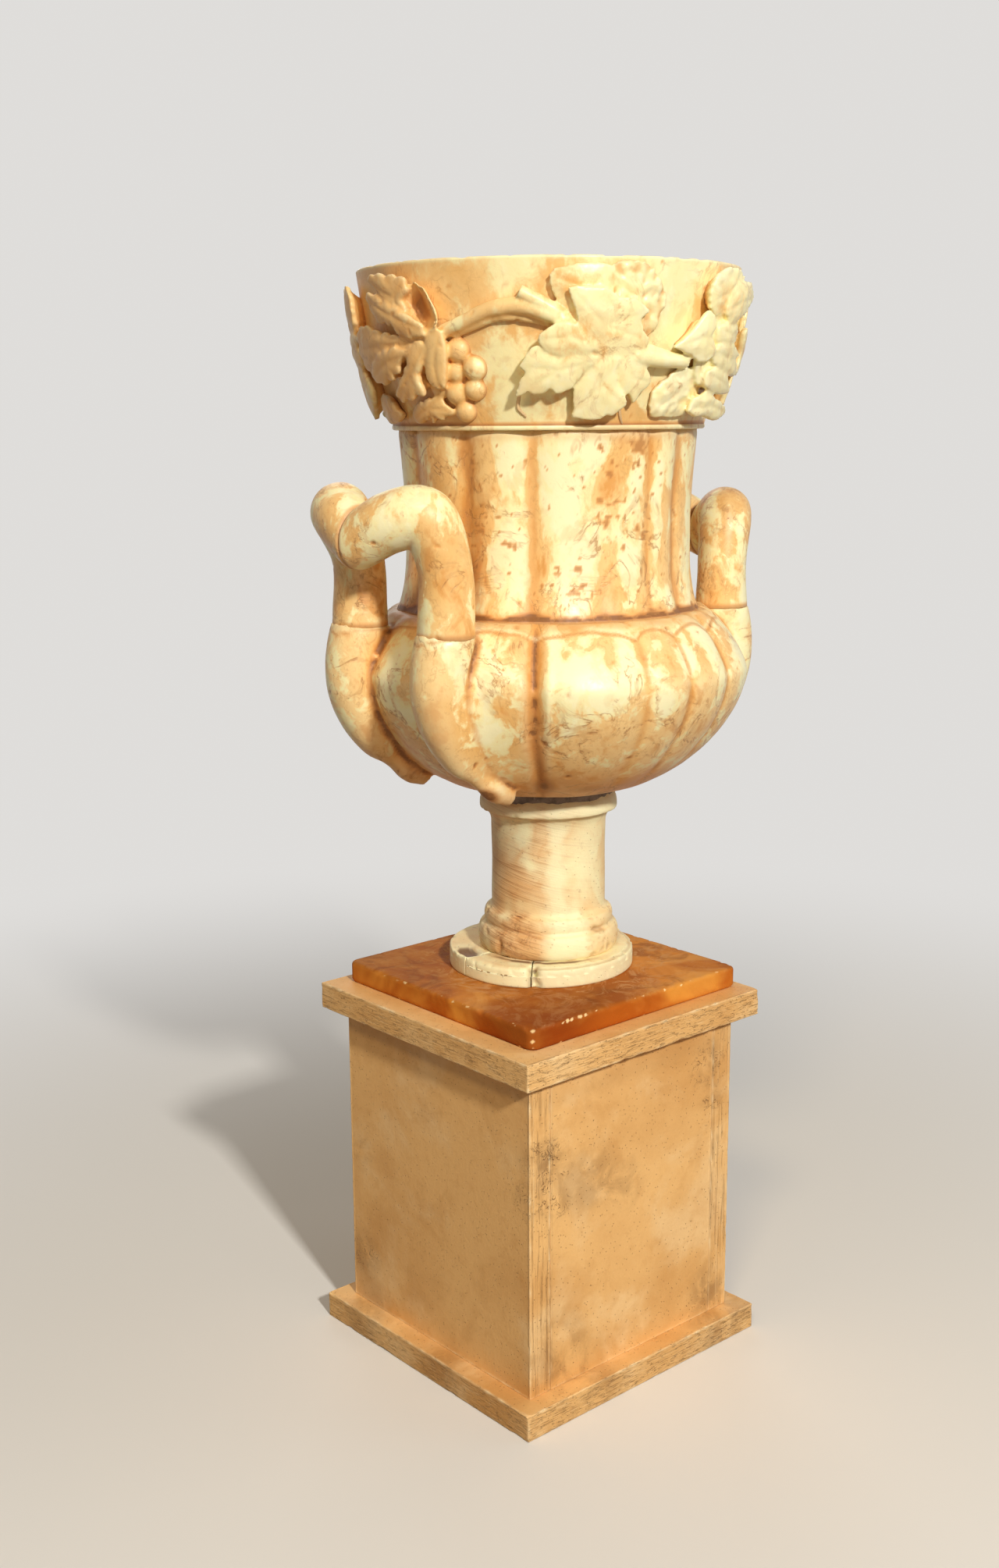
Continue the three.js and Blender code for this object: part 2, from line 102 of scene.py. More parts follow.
def cell_lines(low, high, cell):
    """Places of the cell borders along one side, with close lines near both ends."""
    inner = [low + EDGE_LINES[-1], high - EDGE_LINES[-1]]
    count = max(1, round((inner[1] - inner[0]) / cell))
    near = [low] + [low + line for line in EDGE_LINES[:-1]]
    far = [high - line for line in reversed(EDGE_LINES[:-1])] + [high]
    return np.array(near + list(np.linspace(inner[0], inner[1], count + 1)) + far)


def stone_block(name, low, high, seed, arris=ARRIS_ROUND, chip=ARRIS_CHIP):
    """A sawn block whose arrises are rounded and chipped by uneven wear."""
    lines = [cell_lines(a, b, SLAB_CELL) for a, b in zip(low, high)]
    numbers = {}
    faces = []
    for axis in range(3):
        across, along = (axis + 1) % 3, (axis + 2) % 3
        for side in (0, len(lines[axis]) - 1):
            for i in range(len(lines[across]) - 1):
                for j in range(len(lines[along]) - 1):
                    face = []
                    for step, rise in ((0, 0), (1, 0), (1, 1), (0, 1)):
                        key = [0, 0, 0]
                        key[axis], key[across], key[along] = side, i + step, j + rise
                        face.append(numbers.setdefault(tuple(key), len(numbers)))
                    faces.append(face if side else face[::-1])
    points = np.array([[lines[k][key[k]] for k in range(3)] for key in numbers])
    chips = np.clip(1.9 * unevenness(points, CHIP_SIZE, seed) - 0.55, 0, 1)
    nicks = np.clip(2.2 * unevenness(points, CHIP_SIZE / 3, seed + 1) - 0.7, 0, 1)
    wear = arris + chip * chips + 0.5 * chip * nicks
    core = np.clip(points, low + wear[:, None], high - wear[:, None])
    offset = points - core
    length = np.linalg.norm(offset, axis=1)
    points = core + offset * (wear / length)[:, None]
    return piece_from(name, points, faces)


class Nodes:
    """A node tree being built, one node at a time."""

    def __init__(self, tree):
        self.tree = tree
        self.tree.nodes.clear()

    def node(self, kind, settings=None, sockets=None, output=0):
        """Adds a node, with its settings first and then its sockets' values or links."""
        made = self.tree.nodes.new(kind)
        for key, value in (settings or {}).items():
            if key == "stops":
                ramp = made.color_ramp
                while len(ramp.elements) < len(value):
                    ramp.elements.new(0.5)
                for element, (place, colour) in zip(ramp.elements, value):
                    element.position = place
                    element.color = colour
            else:
                setattr(made, key, value)
        for key, value in (sockets or {}).items():
            if isinstance(value, Amount):
                self.tree.links.new(value.socket, made.inputs[key])
            else:
                made.inputs[key].default_value = value
        return Amount(self, made.outputs[output]) if made.outputs else None


class Amount:
    """One output of a node: a number that varies over a surface, with arithmetic."""

    def __init__(self, nodes, socket):
        self.nodes = nodes
        self.socket = socket

    def math(self, operation, *values, clamp=False):
        settings = {"operation": operation, "use_clamp": clamp}
        return self.nodes.node("ShaderNodeMath", settings, dict(enumerate(values)))

    def __add__(self, other):
        return self.math("ADD", self, other)

    def __sub__(self, other):
        return self.math("SUBTRACT", self, other)

    def __rsub__(self, other):
        return self.math("SUBTRACT", other, self)

    def __mul__(self, other):
        return self.math("MULTIPLY", self, other)

    def __truediv__(self, other):
        return self.math("DIVIDE", self, other)

    __radd__ = __add__
    __rmul__ = __mul__

    def size(self):
        return self.math("ABSOLUTE", self)

    def between(self, low, high):
        """0 below low, 1 above high, and a soft rise from one to the other."""
        settings = {"interpolation_type": "SMOOTHSTEP"}
        sockets = {"Value": self, "From Min": low, "From Max": high}
        return self.nodes.node("ShaderNodeMapRange", settings, sockets)


def tone(red, green, blue):
    """A colour given as it looks on a screen, from 0 to 255, as a shader colour."""
    def linear(value):
        value = value / 255.0
        return value / 12.92 if value <= 0.04045 else ((value + 0.055) / 1.055) ** 2.4
    return (linear(red), linear(green), linear(blue), 1.0)


class Finish(Nodes):
    """The shader of one finish, on a piece's own place in space."""

    def __init__(self, name):
        self.material = bpy.data.materials.new(name)
        self.material.use_nodes = True
        super().__init__(self.material.node_tree)
        self.place = self.node("ShaderNodeTexCoord", output="Object")

    def stretched(self, scale, shift=(0, 0, 0)):
        sockets = {"Vector": self.place, "Scale": scale, "Location": shift}
        return self.node("ShaderNodeMapping", None, sockets)

    def cloud(self, scale, detail=4.0, harshness=0.55, twist=0.0, place=None, shift=0.0):
        """Noise from 0 to 1 whose features are about 1 / scale metres across."""
        if place is None:
            place = self.stretched((1, 1, 1), (shift, 2 * shift, 3 * shift)) if shift else self.place
        sockets = {"Vector": place, "Scale": scale, "Detail": detail, "Roughness": harshness,
                   "Distortion": twist}
        return self.node("ShaderNodeTexNoise", None, sockets)

    def pits(self, scale, reach, shift=0.0):
        """1 in the middle of scattered pits, 0 between them."""
        place = self.stretched((1, 1, 1), (shift, shift, shift))
        near = self.node("ShaderNodeTexVoronoi", None, {"Vector": place, "Scale": scale})
        return 1.0 - near.between(0.3 * reach, reach)

    def around(self, point, reach):
        """1 near a point, given in metres, fading to 0 at the reach."""
        sockets = {0: self.place, 1: point}
        apart = self.node("ShaderNodeVectorMath", {"operation": "DISTANCE"}, sockets, output="Value")
        return 1.0 - apart.between(0.3 * reach, reach)

    def attribute(self, name):
        return self.node("ShaderNodeAttribute", {"attribute_name": name}, output="Fac")

    def tinted(self, mask, first, second):
        """first where the mask is 0, second where it is 1."""
        sockets = {0: mask, 6: first, 7: second}
        return self.node("ShaderNodeMix", {"data_type": "RGBA"}, sockets, output=2)

    def surface(self, colour, gloss, height, depth, **constants):
        """Closes the shader: colour, roughness, and relief of the given depth in metres."""
        relief = self.node("ShaderNodeBump", None, {"Height": height, "Distance": depth})
        sockets = {"Base Color": colour, "Roughness": gloss, "Normal": relief}
        sockets.update({key.replace("_", " "): value for key, value in constants.items()})
        shader = self.node("ShaderNodeBsdfPrincipled", None, sockets)
        self.node("ShaderNodeOutputMaterial", None, {"Surface": shader})
        return self.material


BEIGE = tone(240, 191, 124)
BEIGE_PALE = tone(247, 210, 154)
BEIGE_DARK = tone(208, 152, 86)
STAIN_BROWN = tone(116, 74, 38)
GRIME = tone(146, 104, 60)
HAIR_KNOTS = ((-0.092, -0.104, 0.205, 0.022), (-0.08, -0.104, 0.19, 0.024), (-0.098, -0.104, 0.172, 0.022),
              (-0.078, -0.104, 0.164, 0.018), (0.08, -0.104, 0.226, 0.026), (0.084, -0.104, 0.2, 0.018),
              (-0.104, 0.09, 0.06, 0.026), (0.104, 0.05, 0.11, 0.03), (0.04, 0.104, 0.19, 0.03))
SMUDGES = ((-0.045, -0.104, 0.172, 0.036), (-0.012, -0.104, 0.158, 0.03), (0.082, -0.104, 0.044, 0.026),
           (-0.075, -0.104, 0.052, 0.036), (-0.104, 0.096, 0.15, 0.026), (-0.06, -0.12, 0.018, 0.05),
           (0.09, -0.12, 0.016, 0.05), (-0.12, 0.08, 0.016, 0.04), (-0.12, -0.02, 0.012, 0.03),
           (0.06, 0.12, 0.27, 0.05))


def sawn_limestone(name, thin_axis, seed, knots=(), streaks=0.48, pitch=700.0, along=42.0):
    """Honed beige stone; the saw has left lines on the edges, across the thin axis.

    pitch is how close the lines lie, and along how soon each one breaks off."""
    finish = Finish(name)
    drift = finish.cloud(5.5, 4.0, 0.55, 0.2, shift=seed)
    colour = finish.tinted(drift.between(0.42, 0.68) * 0.8, BEIGE, BEIGE_DARK)
    patches = finish.cloud(14.0, 5.0, 0.6, 0.3, shift=seed + 1).between(0.48, 0.68)
    colour = finish.tinted(patches * 0.6, colour, BEIGE_PALE)
    veil = finish.cloud(20.0, 5.0, 0.6, 0.6, shift=seed + 8).between(0.5, 0.66)
    colour = finish.tinted(veil * 0.34, colour, BEIGE_DARK)
    mottle = finish.cloud(85.0, 5.0, 0.7, 0.2, shift=seed + 5)
    colour = finish.tinted(mottle.between(0.5, 0.72) * 0.28, colour, BEIGE_DARK)
    haze = finish.cloud(34.0, 5.0, 0.65, 0.6, shift=seed + 4).between(0.36, 0.62)
    smudged = sum(finish.around(spot[:3], spot[3]) for spot in SMUDGES + knots)
    colour = finish.tinted(smudged * haze * 0.4, colour, GRIME)
    specks = finish.pits(330.0, 0.16, seed)
    if knots:
        knotted = sum(finish.around(knot[:3], knot[3]) for knot in knots)
        scratch = finish.cloud(105.0, 3.0, 0.55, 1.8, shift=seed + 2)
        scribble = 1.0 - (scratch - 0.5).size().between(0.005, 0.022)
        broken = finish.cloud(90.0, 2.0, 0.5, shift=seed + 3).between(0.46, 0.56)
        colour = finish.tinted(knotted * scribble * broken * 0.6, colour, STAIN_BROWN)
        specks = specks + knotted * scribble * broken * 0.4
    colour = finish.tinted(specks * 0.45, colour, STAIN_BROWN)
    scale, short = [along] * 3, [3.5 * along] * 3
    scale[thin_axis], short[thin_axis] = pitch, 1.3 * pitch
    saw = finish.cloud(1.0, 3.0, 0.75, 0.0, place=finish.stretched(tuple(scale), (seed, seed, seed)))
    torn = finish.cloud(1.0, 3.0, 0.7, 0.0, place=finish.stretched(tuple(short), (seed + 2, seed, seed)))
    sawn = finish.attribute("sawn")
    broken_saw = finish.cloud(40.0, 4.0, 0.65, 0.3, shift=seed + 8).between(0.38, 0.6)
    lines = saw.between(0.52, 0.62) * broken_saw + torn.between(0.56, 0.66) * 0.7
    colour = finish.tinted(sawn * lines * streaks, colour, GRIME)
    colour = finish.tinted(sawn * (1.0 - saw.between(0.36, 0.44)) * streaks, colour, BEIGE_PALE)
    rubbed = finish.attribute("rubbed")
    colour = finish.tinted(rubbed * 0.85, colour, tone(250, 224, 176))
    grain = finish.cloud(420.0, 4.0, 0.6, shift=seed)
    height = sawn * (saw * 0.8 - torn.between(0.56, 0.66) * 0.4) + grain * 0.25 + mottle * 0.3 - specks * 0.7
    gloss = 0.5 + 0.16 * grain + 0.1 * sawn - 0.06 * drift
    return finish.surface(colour, gloss, height, 0.0009, Specular_IOR_Level=0.3)


def place_block(node, material, seed, thin_axis, bare=1.0, **wear):
    """Replaces one sawn node of the pedestal by its worn block."""
    low, high = node_box(node)
    block = stone_block(node + "_stone", low, high, seed, **wear)
    points = mesh_points(block)
    inner = np.minimum(points - low, high - points)
    edge = np.sort(inner, axis=1)[:, 1]
    chips = np.clip(2.4 * unevenness(points, 5.0, seed + 5) - 0.3, 0, 1)
    mark(block, "rubbed", bare * np.clip(1.6 - edge / 1.3, 0, 1) * (0.2 + 0.8 * chips))
    wide = [axis for axis in range(3) if axis != thin_axis]
    mark(block, "sawn", np.clip(1.5 - inner[:, wide].min(axis=1) / 1.2, 0, 1))
    block.data.materials.append(material)
    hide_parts(node)
    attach(block, "pedestal")


slab_stone = sawn_limestone("slab_limestone", 2, 1.0)
place_block("base_slab", slab_stone, 3, 2)

# Pedestal, box: four panels of the same limestone, glued with butt joints. The left and right
# panels run the full width, so their sawn edges show on the front and back faces. Knots of brown
# hair veins sit near some of the corners.
side_stone = sawn_limestone("side_limestone", 0, 11.0, HAIR_KNOTS, 0.4, pitch=330.0, along=5.0)
front_stone = sawn_limestone("front_limestone", 1, 11.0, HAIR_KNOTS, 0.4, pitch=330.0, along=5.0)
place_block("panel_left", side_stone, 11, 0, bare=0.9, arris=0.3, chip=1.5)
place_block("panel_right", side_stone, 12, 0, bare=0.7, arris=0.3, chip=1.3)
place_block("panel_front", front_stone, 13, 1, bare=0.25, arris=0.1, chip=0.3)
place_block("panel_back", front_stone, 14, 1, bare=0.25, arris=0.1, chip=0.3)

# Pedestal, cap slab: the twin of the base slab, laid on the box. Its front corner and its lower
# arris have lost the most to knocks.
place_block("cap_slab", slab_stone, 21, 2, chip=3.2)

# Onyx plate: a 16 mm plate of honey-brown onyx with rounded corners, polished long ago and now
# dusty. Light shows through its edges. It is skinned from rounded outlines, with chips along the
# upper arris.
PLATE_CORNER = 7.0
PLATE_STEP = 2.2
PLATE_ROWS = ((3.0, 0.0), (1.0, 0.5), (0.0, 2.2), (0.0, 4.6), (0.0, 7.0), (0.0, 9.2),
              (0.0, 11.0), (0.0, 12.4), (0.0, 13.6), (0.35, 14.8), (1.0, 15.6),
              (2.2, 16.0), (5.0, 16.0), (9.0, 16.0), (14.0, 16.0), (19.0, 16.0),
              (24.0, 16.0), (29.0, 16.0))


def skin(rings, looped=False):
    """Points and faces of the closed skin over rings of equal length, from the lowest up."""
    count = len(rings[0])
    faces = []
    for i in range(len(rings) if looped else len(rings) - 1):
        row, above = i * count, ((i + 1) % len(rings)) * count
        for j in range(count):
            k = (j + 1) % count
            faces.append((row + j, row + k, above + k, above + j))
    if not looped:
        faces.append(tuple(reversed(range(count))))
        faces.append(tuple(range((len(rings) - 1) * count, len(rings) * count)))
    return np.concatenate(rings), faces


def rounded_outline(half, corner, step):
    """Points round a square with rounded corners, counter-clockwise."""
    points = []
    for quarter in range(4):
        turn = math.radians(90 * quarter)
        heading = np.array([math.cos(turn), math.sin(turn)])
        side = np.array([-heading[1], heading[0]])
        straight = max(2, round(2 * (half - corner) / step))
        for t in np.linspace(-1, 1, straight, endpoint=False):
            points.append(heading * half + side * t * (half - corner))
        for t in np.linspace(0, 90, 8, endpoint=False):
            arc = turn + math.radians(t)
            centre = (heading + side) * (half - corner)
            points.append(centre + corner * np.array([math.cos(arc), math.sin(arc)]))
    return np.array(points)


def onyx_plate():
    low, high = node_box("onyx_plate")
    centre = (low + high) / 2
    half = (high[0] - low[0]) / 2
    outline = rounded_outline(half, PLATE_CORNER, PLATE_STEP)
    around = np.column_stack([outline, np.zeros(len(outline))])
    chips = np.clip(2.4 * unevenness(around, 7.0, 31) - 0.75, 0, 1)
    chips += 0.5 * np.clip(2.4 * unevenness(around, 2.6, 32) - 0.7, 0, 1)
    rings = []
    for inset, rise in PLATE_ROWS:
        upper = min(1.0, max(0.0, (rise - 12.5) / 3.0)) if inset < 5.0 else 0.0
        cut = inset + 1.5 * chips * upper
        drop = 1.1 * chips * upper
        shrink = (half - cut) / half
        ring = outline * shrink[:, None] if isinstance(shrink, np.ndarray) else outline * shrink
        z = low[2] + rise - drop
        rings.append(np.column_stack([centre[0] + ring[:, 0], centre[1] + ring[:, 1], z]))
    for share in (0.66, 0.4, 0.15):
        rings.append(np.column_stack([centre[0] + outline[:, 0] * share, centre[1] + outline[:, 1] * share,
                                      np.full(len(outline), high[2])]))
    return piece_from("onyx_plate_stone", *skin(rings))


PLATE_FRONT_CORNER = (-0.096, -0.1, 0.29)
PLATE_NICKS = (((2.4, 2.4, -0.6), 1.7), ((2.0, 2.0, -8.6), 1.2), ((34.0, 0.4, -0.6), 1.5), ((38.0, 0.4, -0.8), 1.1),
               ((46.0, 0.4, -0.6), 1.4), ((52.0, 0.4, -0.8), 1.1), ((0.6, 70.0, -0.6), 1.1),
               ((0.6, 86.0, -0.8), 1.0), ((0.6, 142.0, -0.6), 1.1))
PLATE_DARK_PLACES = ((-0.09, 0.07, 0.298, 0.09), (-0.02, -0.075, 0.298, 0.05), (0.03, 0.09, 0.298, 0.08))


def honey_onyx():
    """Brown to amber stone with cloudy bands, dust on top, pale nicks along the edges and a painted glow on its sides.
    """
    finish = Finish("honey_onyx")
    band = finish.cloud(9.0, 4.0, 0.6, 0.9)
    amber = finish.cloud(24.0, 5.0, 0.6, 0.9, shift=2.0).between(0.48, 0.68)
    colour = finish.tinted(band.between(0.36, 0.64), tone(168, 92, 32), tone(212, 138, 56))
    colour = finish.tinted(amber * 0.55, colour, tone(226, 164, 84))
    shaded = sum(finish.around(spot[:3], spot[3]) for spot in PLATE_DARK_PLACES)
    colour = finish.tinted(shaded * 0.5, colour, tone(140, 70, 20))
    dark = finish.cloud(30.0, 4.0, 0.6, 0.8, shift=5.0).between(0.5, 0.66)
    colour = finish.tinted(dark * 0.55, colour, tone(126, 66, 24))
    # The sides are tinted a warmer honey, a painted glow of light passing through the onyx's edges.
    side = finish.attribute("side")
    honey = finish.tinted(band.between(0.42, 0.6), tone(184, 94, 28), tone(228, 154, 64))
    colour = finish.tinted(side * 0.8, colour, honey)
    colour = finish.tinted(finish.around(PLATE_FRONT_CORNER, 0.075) * 0.8, colour, tone(136, 58, 18))
    smears = finish.cloud(34.0, 6.0, 0.72, 2.4, shift=3.0).between(0.47, 0.6)
    dust = finish.attribute("dust") * (0.08 + 0.92 * smears)
    colour = finish.tinted(dust * 0.7, colour, tone(206, 158, 108))
    rubbed = finish.attribute("rubbed").between(0.2, 0.7)
    colour = finish.tinted(rubbed * 0.85, colour, tone(250, 218, 160))
    grain = finish.cloud(300.0, 4.0, 0.6)
    gloss = 0.42 + 0.3 * dust + 0.08 * grain
    return finish.surface(colour, gloss, grain * 0.4 + smears * 0.2, 0.0004, Specular_IOR_Level=0.02)


plate = onyx_plate()
shape = mesh_points(plate)
plate_low, plate_high = node_box("onyx_plate")
disc_reach = np.hypot(shape[:, 0] - 12.0, shape[:, 1] - 10.0)
on_top = np.clip((shape[:, 2] - plate_high[2] + 1.5) / 1.4, 0, 1)
right_turn = np.degrees(np.arctan2(shape[:, 1] - 10.0, shape[:, 0] - 12.0))
swept = near(right_turn, -62.0, 40.0) * near(disc_reach, 88.0, 13.0)
mark(plate, "dust", on_top * (0.35 + 0.65 * near(disc_reach, 78.0, 14.0) + 0.7 * swept))
inner = np.minimum(shape - plate_low, plate_high - shape)
nicks = np.clip(3.0 * unevenness(shape, 3.0, 33) - 0.9, 0, 1)
mark(plate, "side", 1 - np.clip((shape[:, 2] - plate_high[2] + 2.5) / 2.5, 0, 1))
nicks = nicks * np.clip(1.8 - np.sort(inner, axis=1)[:, 1] / 1.6, 0, 1)
corner = np.array([plate_low[0], plate_low[1], plate_high[2]])
for aside, reach in PLATE_NICKS:
    apart = np.linalg.norm(shape - corner - np.array(aside), axis=1)
    nicks = np.maximum(nicks, np.clip(1.7 - apart / reach, 0, 1))
mark(plate, "rubbed", nicks)
plate.data.materials.append(honey_onyx())
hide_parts("onyx_plate")
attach(plate, "vase")

# Foot disc: a flat 15 mm disc of pale marble under the stem, laid a little off its axis. It has
# cracked into three, and the piece at the front left has lost part of its upper layer. Neighbours
# share one jagged crack line. Each piece is swept round the disc's middle as a cross-section.
VASE_AXIS = np.array([16.0, 6.0])
DISC_SHIFT = np.array([-4.0, 4.0])
DISC_RADIUS = 70.5
DISC_THICKNESS = 15.0
DISC_BORE = 11.7
DISC_CRACKS = {"rear_left": 174.0, "notch": 221.0, "right": 380.0}
CRACK_GAP = 1.1
CRACK_JAG = 2.2
CRACK_REACH = 9.0
LAYER_HEIGHT = 2.6
LAYER_CUT = 3.2
EASED_EDGE = {"from": 175.0, "to": 221.0, "width": 3.4, "drop": 2.0}
TOP_STEP = {"from": 226.0, "to": 345.0, "reach": 66.3, "drop": 1.1}
BITE = {"angle": 222.5, "size": 2.6, "cut": 7.5, "drop": 6.0}
HOLLOW = {"angle": 521.0, "span": 13.0, "reach": 61.0, "size": 5.4, "depth": 3.8}
DISC_TOP = (13.0, 25.0, 38.0, 46.0, 50.0, 53.0, 55.5, 57.5, 59.0, 60.5, 61.5, 62.5, 63.5, 64.5, 65.5,
            66.5, 67.5, 68.3, 69.0, 69.6)
DISC_RIM = ((70.1, 14.6), (70.4, 14.0), (70.5, 12.0), (70.5, 9.6), (70.5, 9.0), (70.5, 8.6),
            (70.5, 8.2), (70.5, 7.6), (70.5, 4.0), (70.5, 1.6), (70.2, 0.5), (69.4, 0.0))


def crack_offset(reach, seed):
    """How far the jagged crack strays sideways from its radius, in millimetres."""
    here = [(r, 0.0, 0.0) for r in np.atleast_1d(reach)]
    return CRACK_JAG * (unevenness(here, 11.0, seed) + 0.4 * unevenness(here, 4.0, seed + 1))


def disc_fragment(node, start, end, seeds):
    bottom = node_box(node)[0][2]
    span = end - start
    steps = np.linspace(0, span, round(span * 0.9) + 2)
    close = np.array([0.25, 0.6, 1.1, 1.8])
    turns = start + np.unique(np.concatenate([steps, close, span - close]))
    reach = np.array((DISC_BORE, DISC_BORE) + DISC_TOP + tuple(r for r, z in DISC_RIM) + (40.0,))
    level = np.array((0.0, DISC_THICKNESS) + (DISC_THICKNESS,) * len(DISC_TOP)
                     + tuple(z for r, z in DISC_RIM) + (0.0,))
    jag_start, jag_end = crack_offset(reach, seeds[0]), crack_offset(reach, seeds[1])
    rings, stains_and_gap_shadow, pale = [], [], []
    for turn in turns:
        from_start = np.radians(turn - start) * reach
        from_end = np.radians(end - turn) * reach
        aside = (jag_start + CRACK_GAP / 2) * np.exp(-from_start / CRACK_REACH)
        aside += (jag_end - CRACK_GAP / 2) * np.exp(-from_end / CRACK_REACH)
        angles = np.radians(turn) + aside / reach
        rim_wave = 0.5 * unevenness([(math.cos(angles[0]) * 70, math.sin(angles[0]) * 70, 3.0)], 30, 42)
        out = reach + rim_wave * (reach > 60)
        here = np.column_stack([out * np.cos(angles), out * np.sin(angles), level])
        upper = np.clip((level - 8.6) / 2.0, 0, 1)
        edge = np.maximum(near(reach, DISC_RADIUS, 2.2), near(np.minimum(from_start, from_end), 0, 1.3))
        chips = np.clip(2.6 * unevenness(here, 5.0, 43) - 0.5, 0, 1) * edge
        ragged = 1.6 * unevenness(here, 7.0, 44)
        eased = (EASED_EDGE["from"] < turn < EASED_EDGE["to"]) * EASED_EDGE["drop"] * np.clip(
            1 - (DISC_RADIUS - reach) / EASED_EDGE["width"], 0, 1) ** 1.6
        step = (TOP_STEP["from"] < turn < TOP_STEP["to"]) * TOP_STEP["drop"] * np.clip(
            (reach + ragged - TOP_STEP["reach"]) / 0.6, 0, 1)
        hollow = HOLLOW["depth"] * near(turn, HOLLOW["angle"], HOLLOW["span"]) * np.clip(
            1.6 - np.abs(reach + ragged - HOLLOW["reach"]) / HOLLOW["size"], 0, 1)
        bite = near(turn, BITE["angle"], BITE["size"]) * near(reach, DISC_RADIUS, 6.0)
        layer = LAYER_CUT * near(level, LAYER_HEIGHT, 2.6) * (reach > 69) * near(turn, DISC_CRACKS["notch"] + 3.0, 3.6)
        out = out - 0.9 * chips * upper - layer - bite * BITE["cut"] * (0.35 + 0.65 * upper)
        rise = level - upper * (eased + step + hollow + 1.5 * chips + 0.25 * edge + bite * BITE["drop"])
        rise = rise + upper * 0.3 * unevenness(here, 9.0, 45)
        x = VASE_AXIS[0] + DISC_SHIFT[0] + out * np.cos(angles)
        y = VASE_AXIS[1] + DISC_SHIFT[1] + out * np.sin(angles)
        rings.append(np.column_stack([x, y, bottom + rise]))
        # A painted shadow: a dark ring on the top where the gap under the stem's foot lies, added to the darkening of
        # the hollow, the bite, the step and the layer line.
        from_stem = np.hypot(x - VASE_AXIS[0], y - VASE_AXIS[1]) + 0.8 * ragged
        foot_gap_shadow = near(from_stem, 55.5, 2.2) * near(turn, 222.0, 36.0) * (level > 14)
        stains_and_gap_shadow.append(2.0 * np.clip(hollow / HOLLOW["depth"], 0, 1) + 1.6 * bite + 0.4 * step + 2.6 * foot_gap_shadow
                      + 0.5 * layer)
        filler = near(turn, DISC_CRACKS["rear_left"], 1.6) + near(turn, DISC_CRACKS["rear_left"] + 360, 1.6)
        pale.append(filler + 0.6 * chips + 0.4 * edge + 0.3 * (reach > 69)
                    + 0.7 * near(hollow / HOLLOW["depth"], 0.3, 0.2))
    made = piece_from(node + "_marble", *skin(rings))
    mark(made, "worn", np.concatenate(stains_and_gap_shadow))
    mark(made, "rubbed", np.concatenate(pale))
    return made


CREAM = tone(253, 241, 184)
CREAM_PALE = tone(254, 248, 204)
BROWN = tone(150, 96, 48)
SUBSURFACE_TINT = (1.0, 0.7, 0.42)


def pale_marble(name, seed, rasp=0.0):
    """Cream marble of foot and stem: pinkish clouds, dust in the pits, rasp marks and stains, with painted shadow and
    highlights.
    """
    finish = Finish(name)
    drift = finish.cloud(16.0, 5.0, 0.6, 0.8, shift=seed)
    colour = finish.tinted(drift.between(0.4, 0.64), tone(253, 244, 196), tone(244, 214, 158))
    tan = finish.cloud(40.0, 6.0, 0.65, 0.6, shift=seed + 1).between(0.54, 0.68)
    colour = finish.tinted(tan * 0.45, colour, tone(224, 172, 110))
    dirt = finish.cloud(120.0, 5.0, 0.7, 0.4, shift=seed + 2).between(0.6, 0.74)
    colour = finish.tinted(dirt * 0.4, colour, tone(150, 108, 66))
    # Stains and dirt darken the colour, down to a near-black brown, and so does painted shadow in the gaps under the
    # stem's lip and foot.
    worn = finish.attribute("worn")
    colour = finish.tinted(worn * 0.85, colour, tone(158, 106, 58))
    colour = finish.tinted(worn.between(0.75, 1.0) * 0.7, colour, tone(84, 54, 30))
    pits = finish.pits(260.0, 0.14, seed)
    colour = finish.tinted(pits * 0.5, colour, BROWN)
    grain = finish.cloud(520.0, 4.0, 0.65, shift=seed)
    height = grain * 0.3 + drift * 0.3 - pits * 0.8
    if rasp:
        sockets = {"Vector": finish.place, "Rotation": (0.16, 0.18, 0.0), "Scale": (0.06, 0.06, 0.0013)}
        tilted = finish.node("ShaderNodeMapping", {"vector_type": "TEXTURE"}, sockets)
        marks = finish.cloud(1.0, 2.0, 0.6, 0.1, place=tilted)
        # The rasped side is tinted darker tan: partly the stone's own tone, partly painted shade on the side away from
        # the light.
        where = finish.attribute("rasped") * finish.cloud(28.0, 2.0, 0.5, shift=seed + 6).between(0.3, 0.5)
        height = height + rasp * marks * (0.25 + 0.75 * where)
        colour = finish.tinted(where * 0.7, colour, tone(222, 162, 98))
        colour = finish.tinted(marks.between(0.5, 0.62) * where * 0.62, colour, tone(176, 118, 66))
        crease = (finish.cloud(75.0, 4.0, 0.6, 1.2, shift=seed + 3) - 0.5).size()
        scribble = (1.0 - crease.between(0.006, 0.026)) * finish.attribute("soiled")
        colour = finish.tinted(scribble * 0.7, colour, tone(140, 90, 48))
    # Chips and rubbed places are paler, and so are the painted highlights on the stem's lit front and on its lip.
    colour = finish.tinted(finish.attribute("rubbed") * 0.8, colour, CREAM_PALE)
    gloss = 0.5 + 0.2 * grain
    return finish.surface(colour, gloss, height, 0.0007, Subsurface_Weight=0.08, Subsurface_Scale=0.005,
                          Subsurface_Radius=SUBSURFACE_TINT)


disc_marble = pale_marble("disc_marble", 1.0)
for fragment, begin, finish_at, seed_pair in (
        ("disc_front_left", DISC_CRACKS["rear_left"], DISC_CRACKS["notch"], (51, 53)),
        ("disc_front_right", DISC_CRACKS["notch"], DISC_CRACKS["right"], (53, 55)),
        ("disc_rear", DISC_CRACKS["right"], DISC_CRACKS["rear_left"] + 360, (55, 51))):
    piece = disc_fragment(fragment, begin, finish_at, seed_pair)
    piece.data.materials.append(disc_marble)
    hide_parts(fragment)
    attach(piece, "vase")

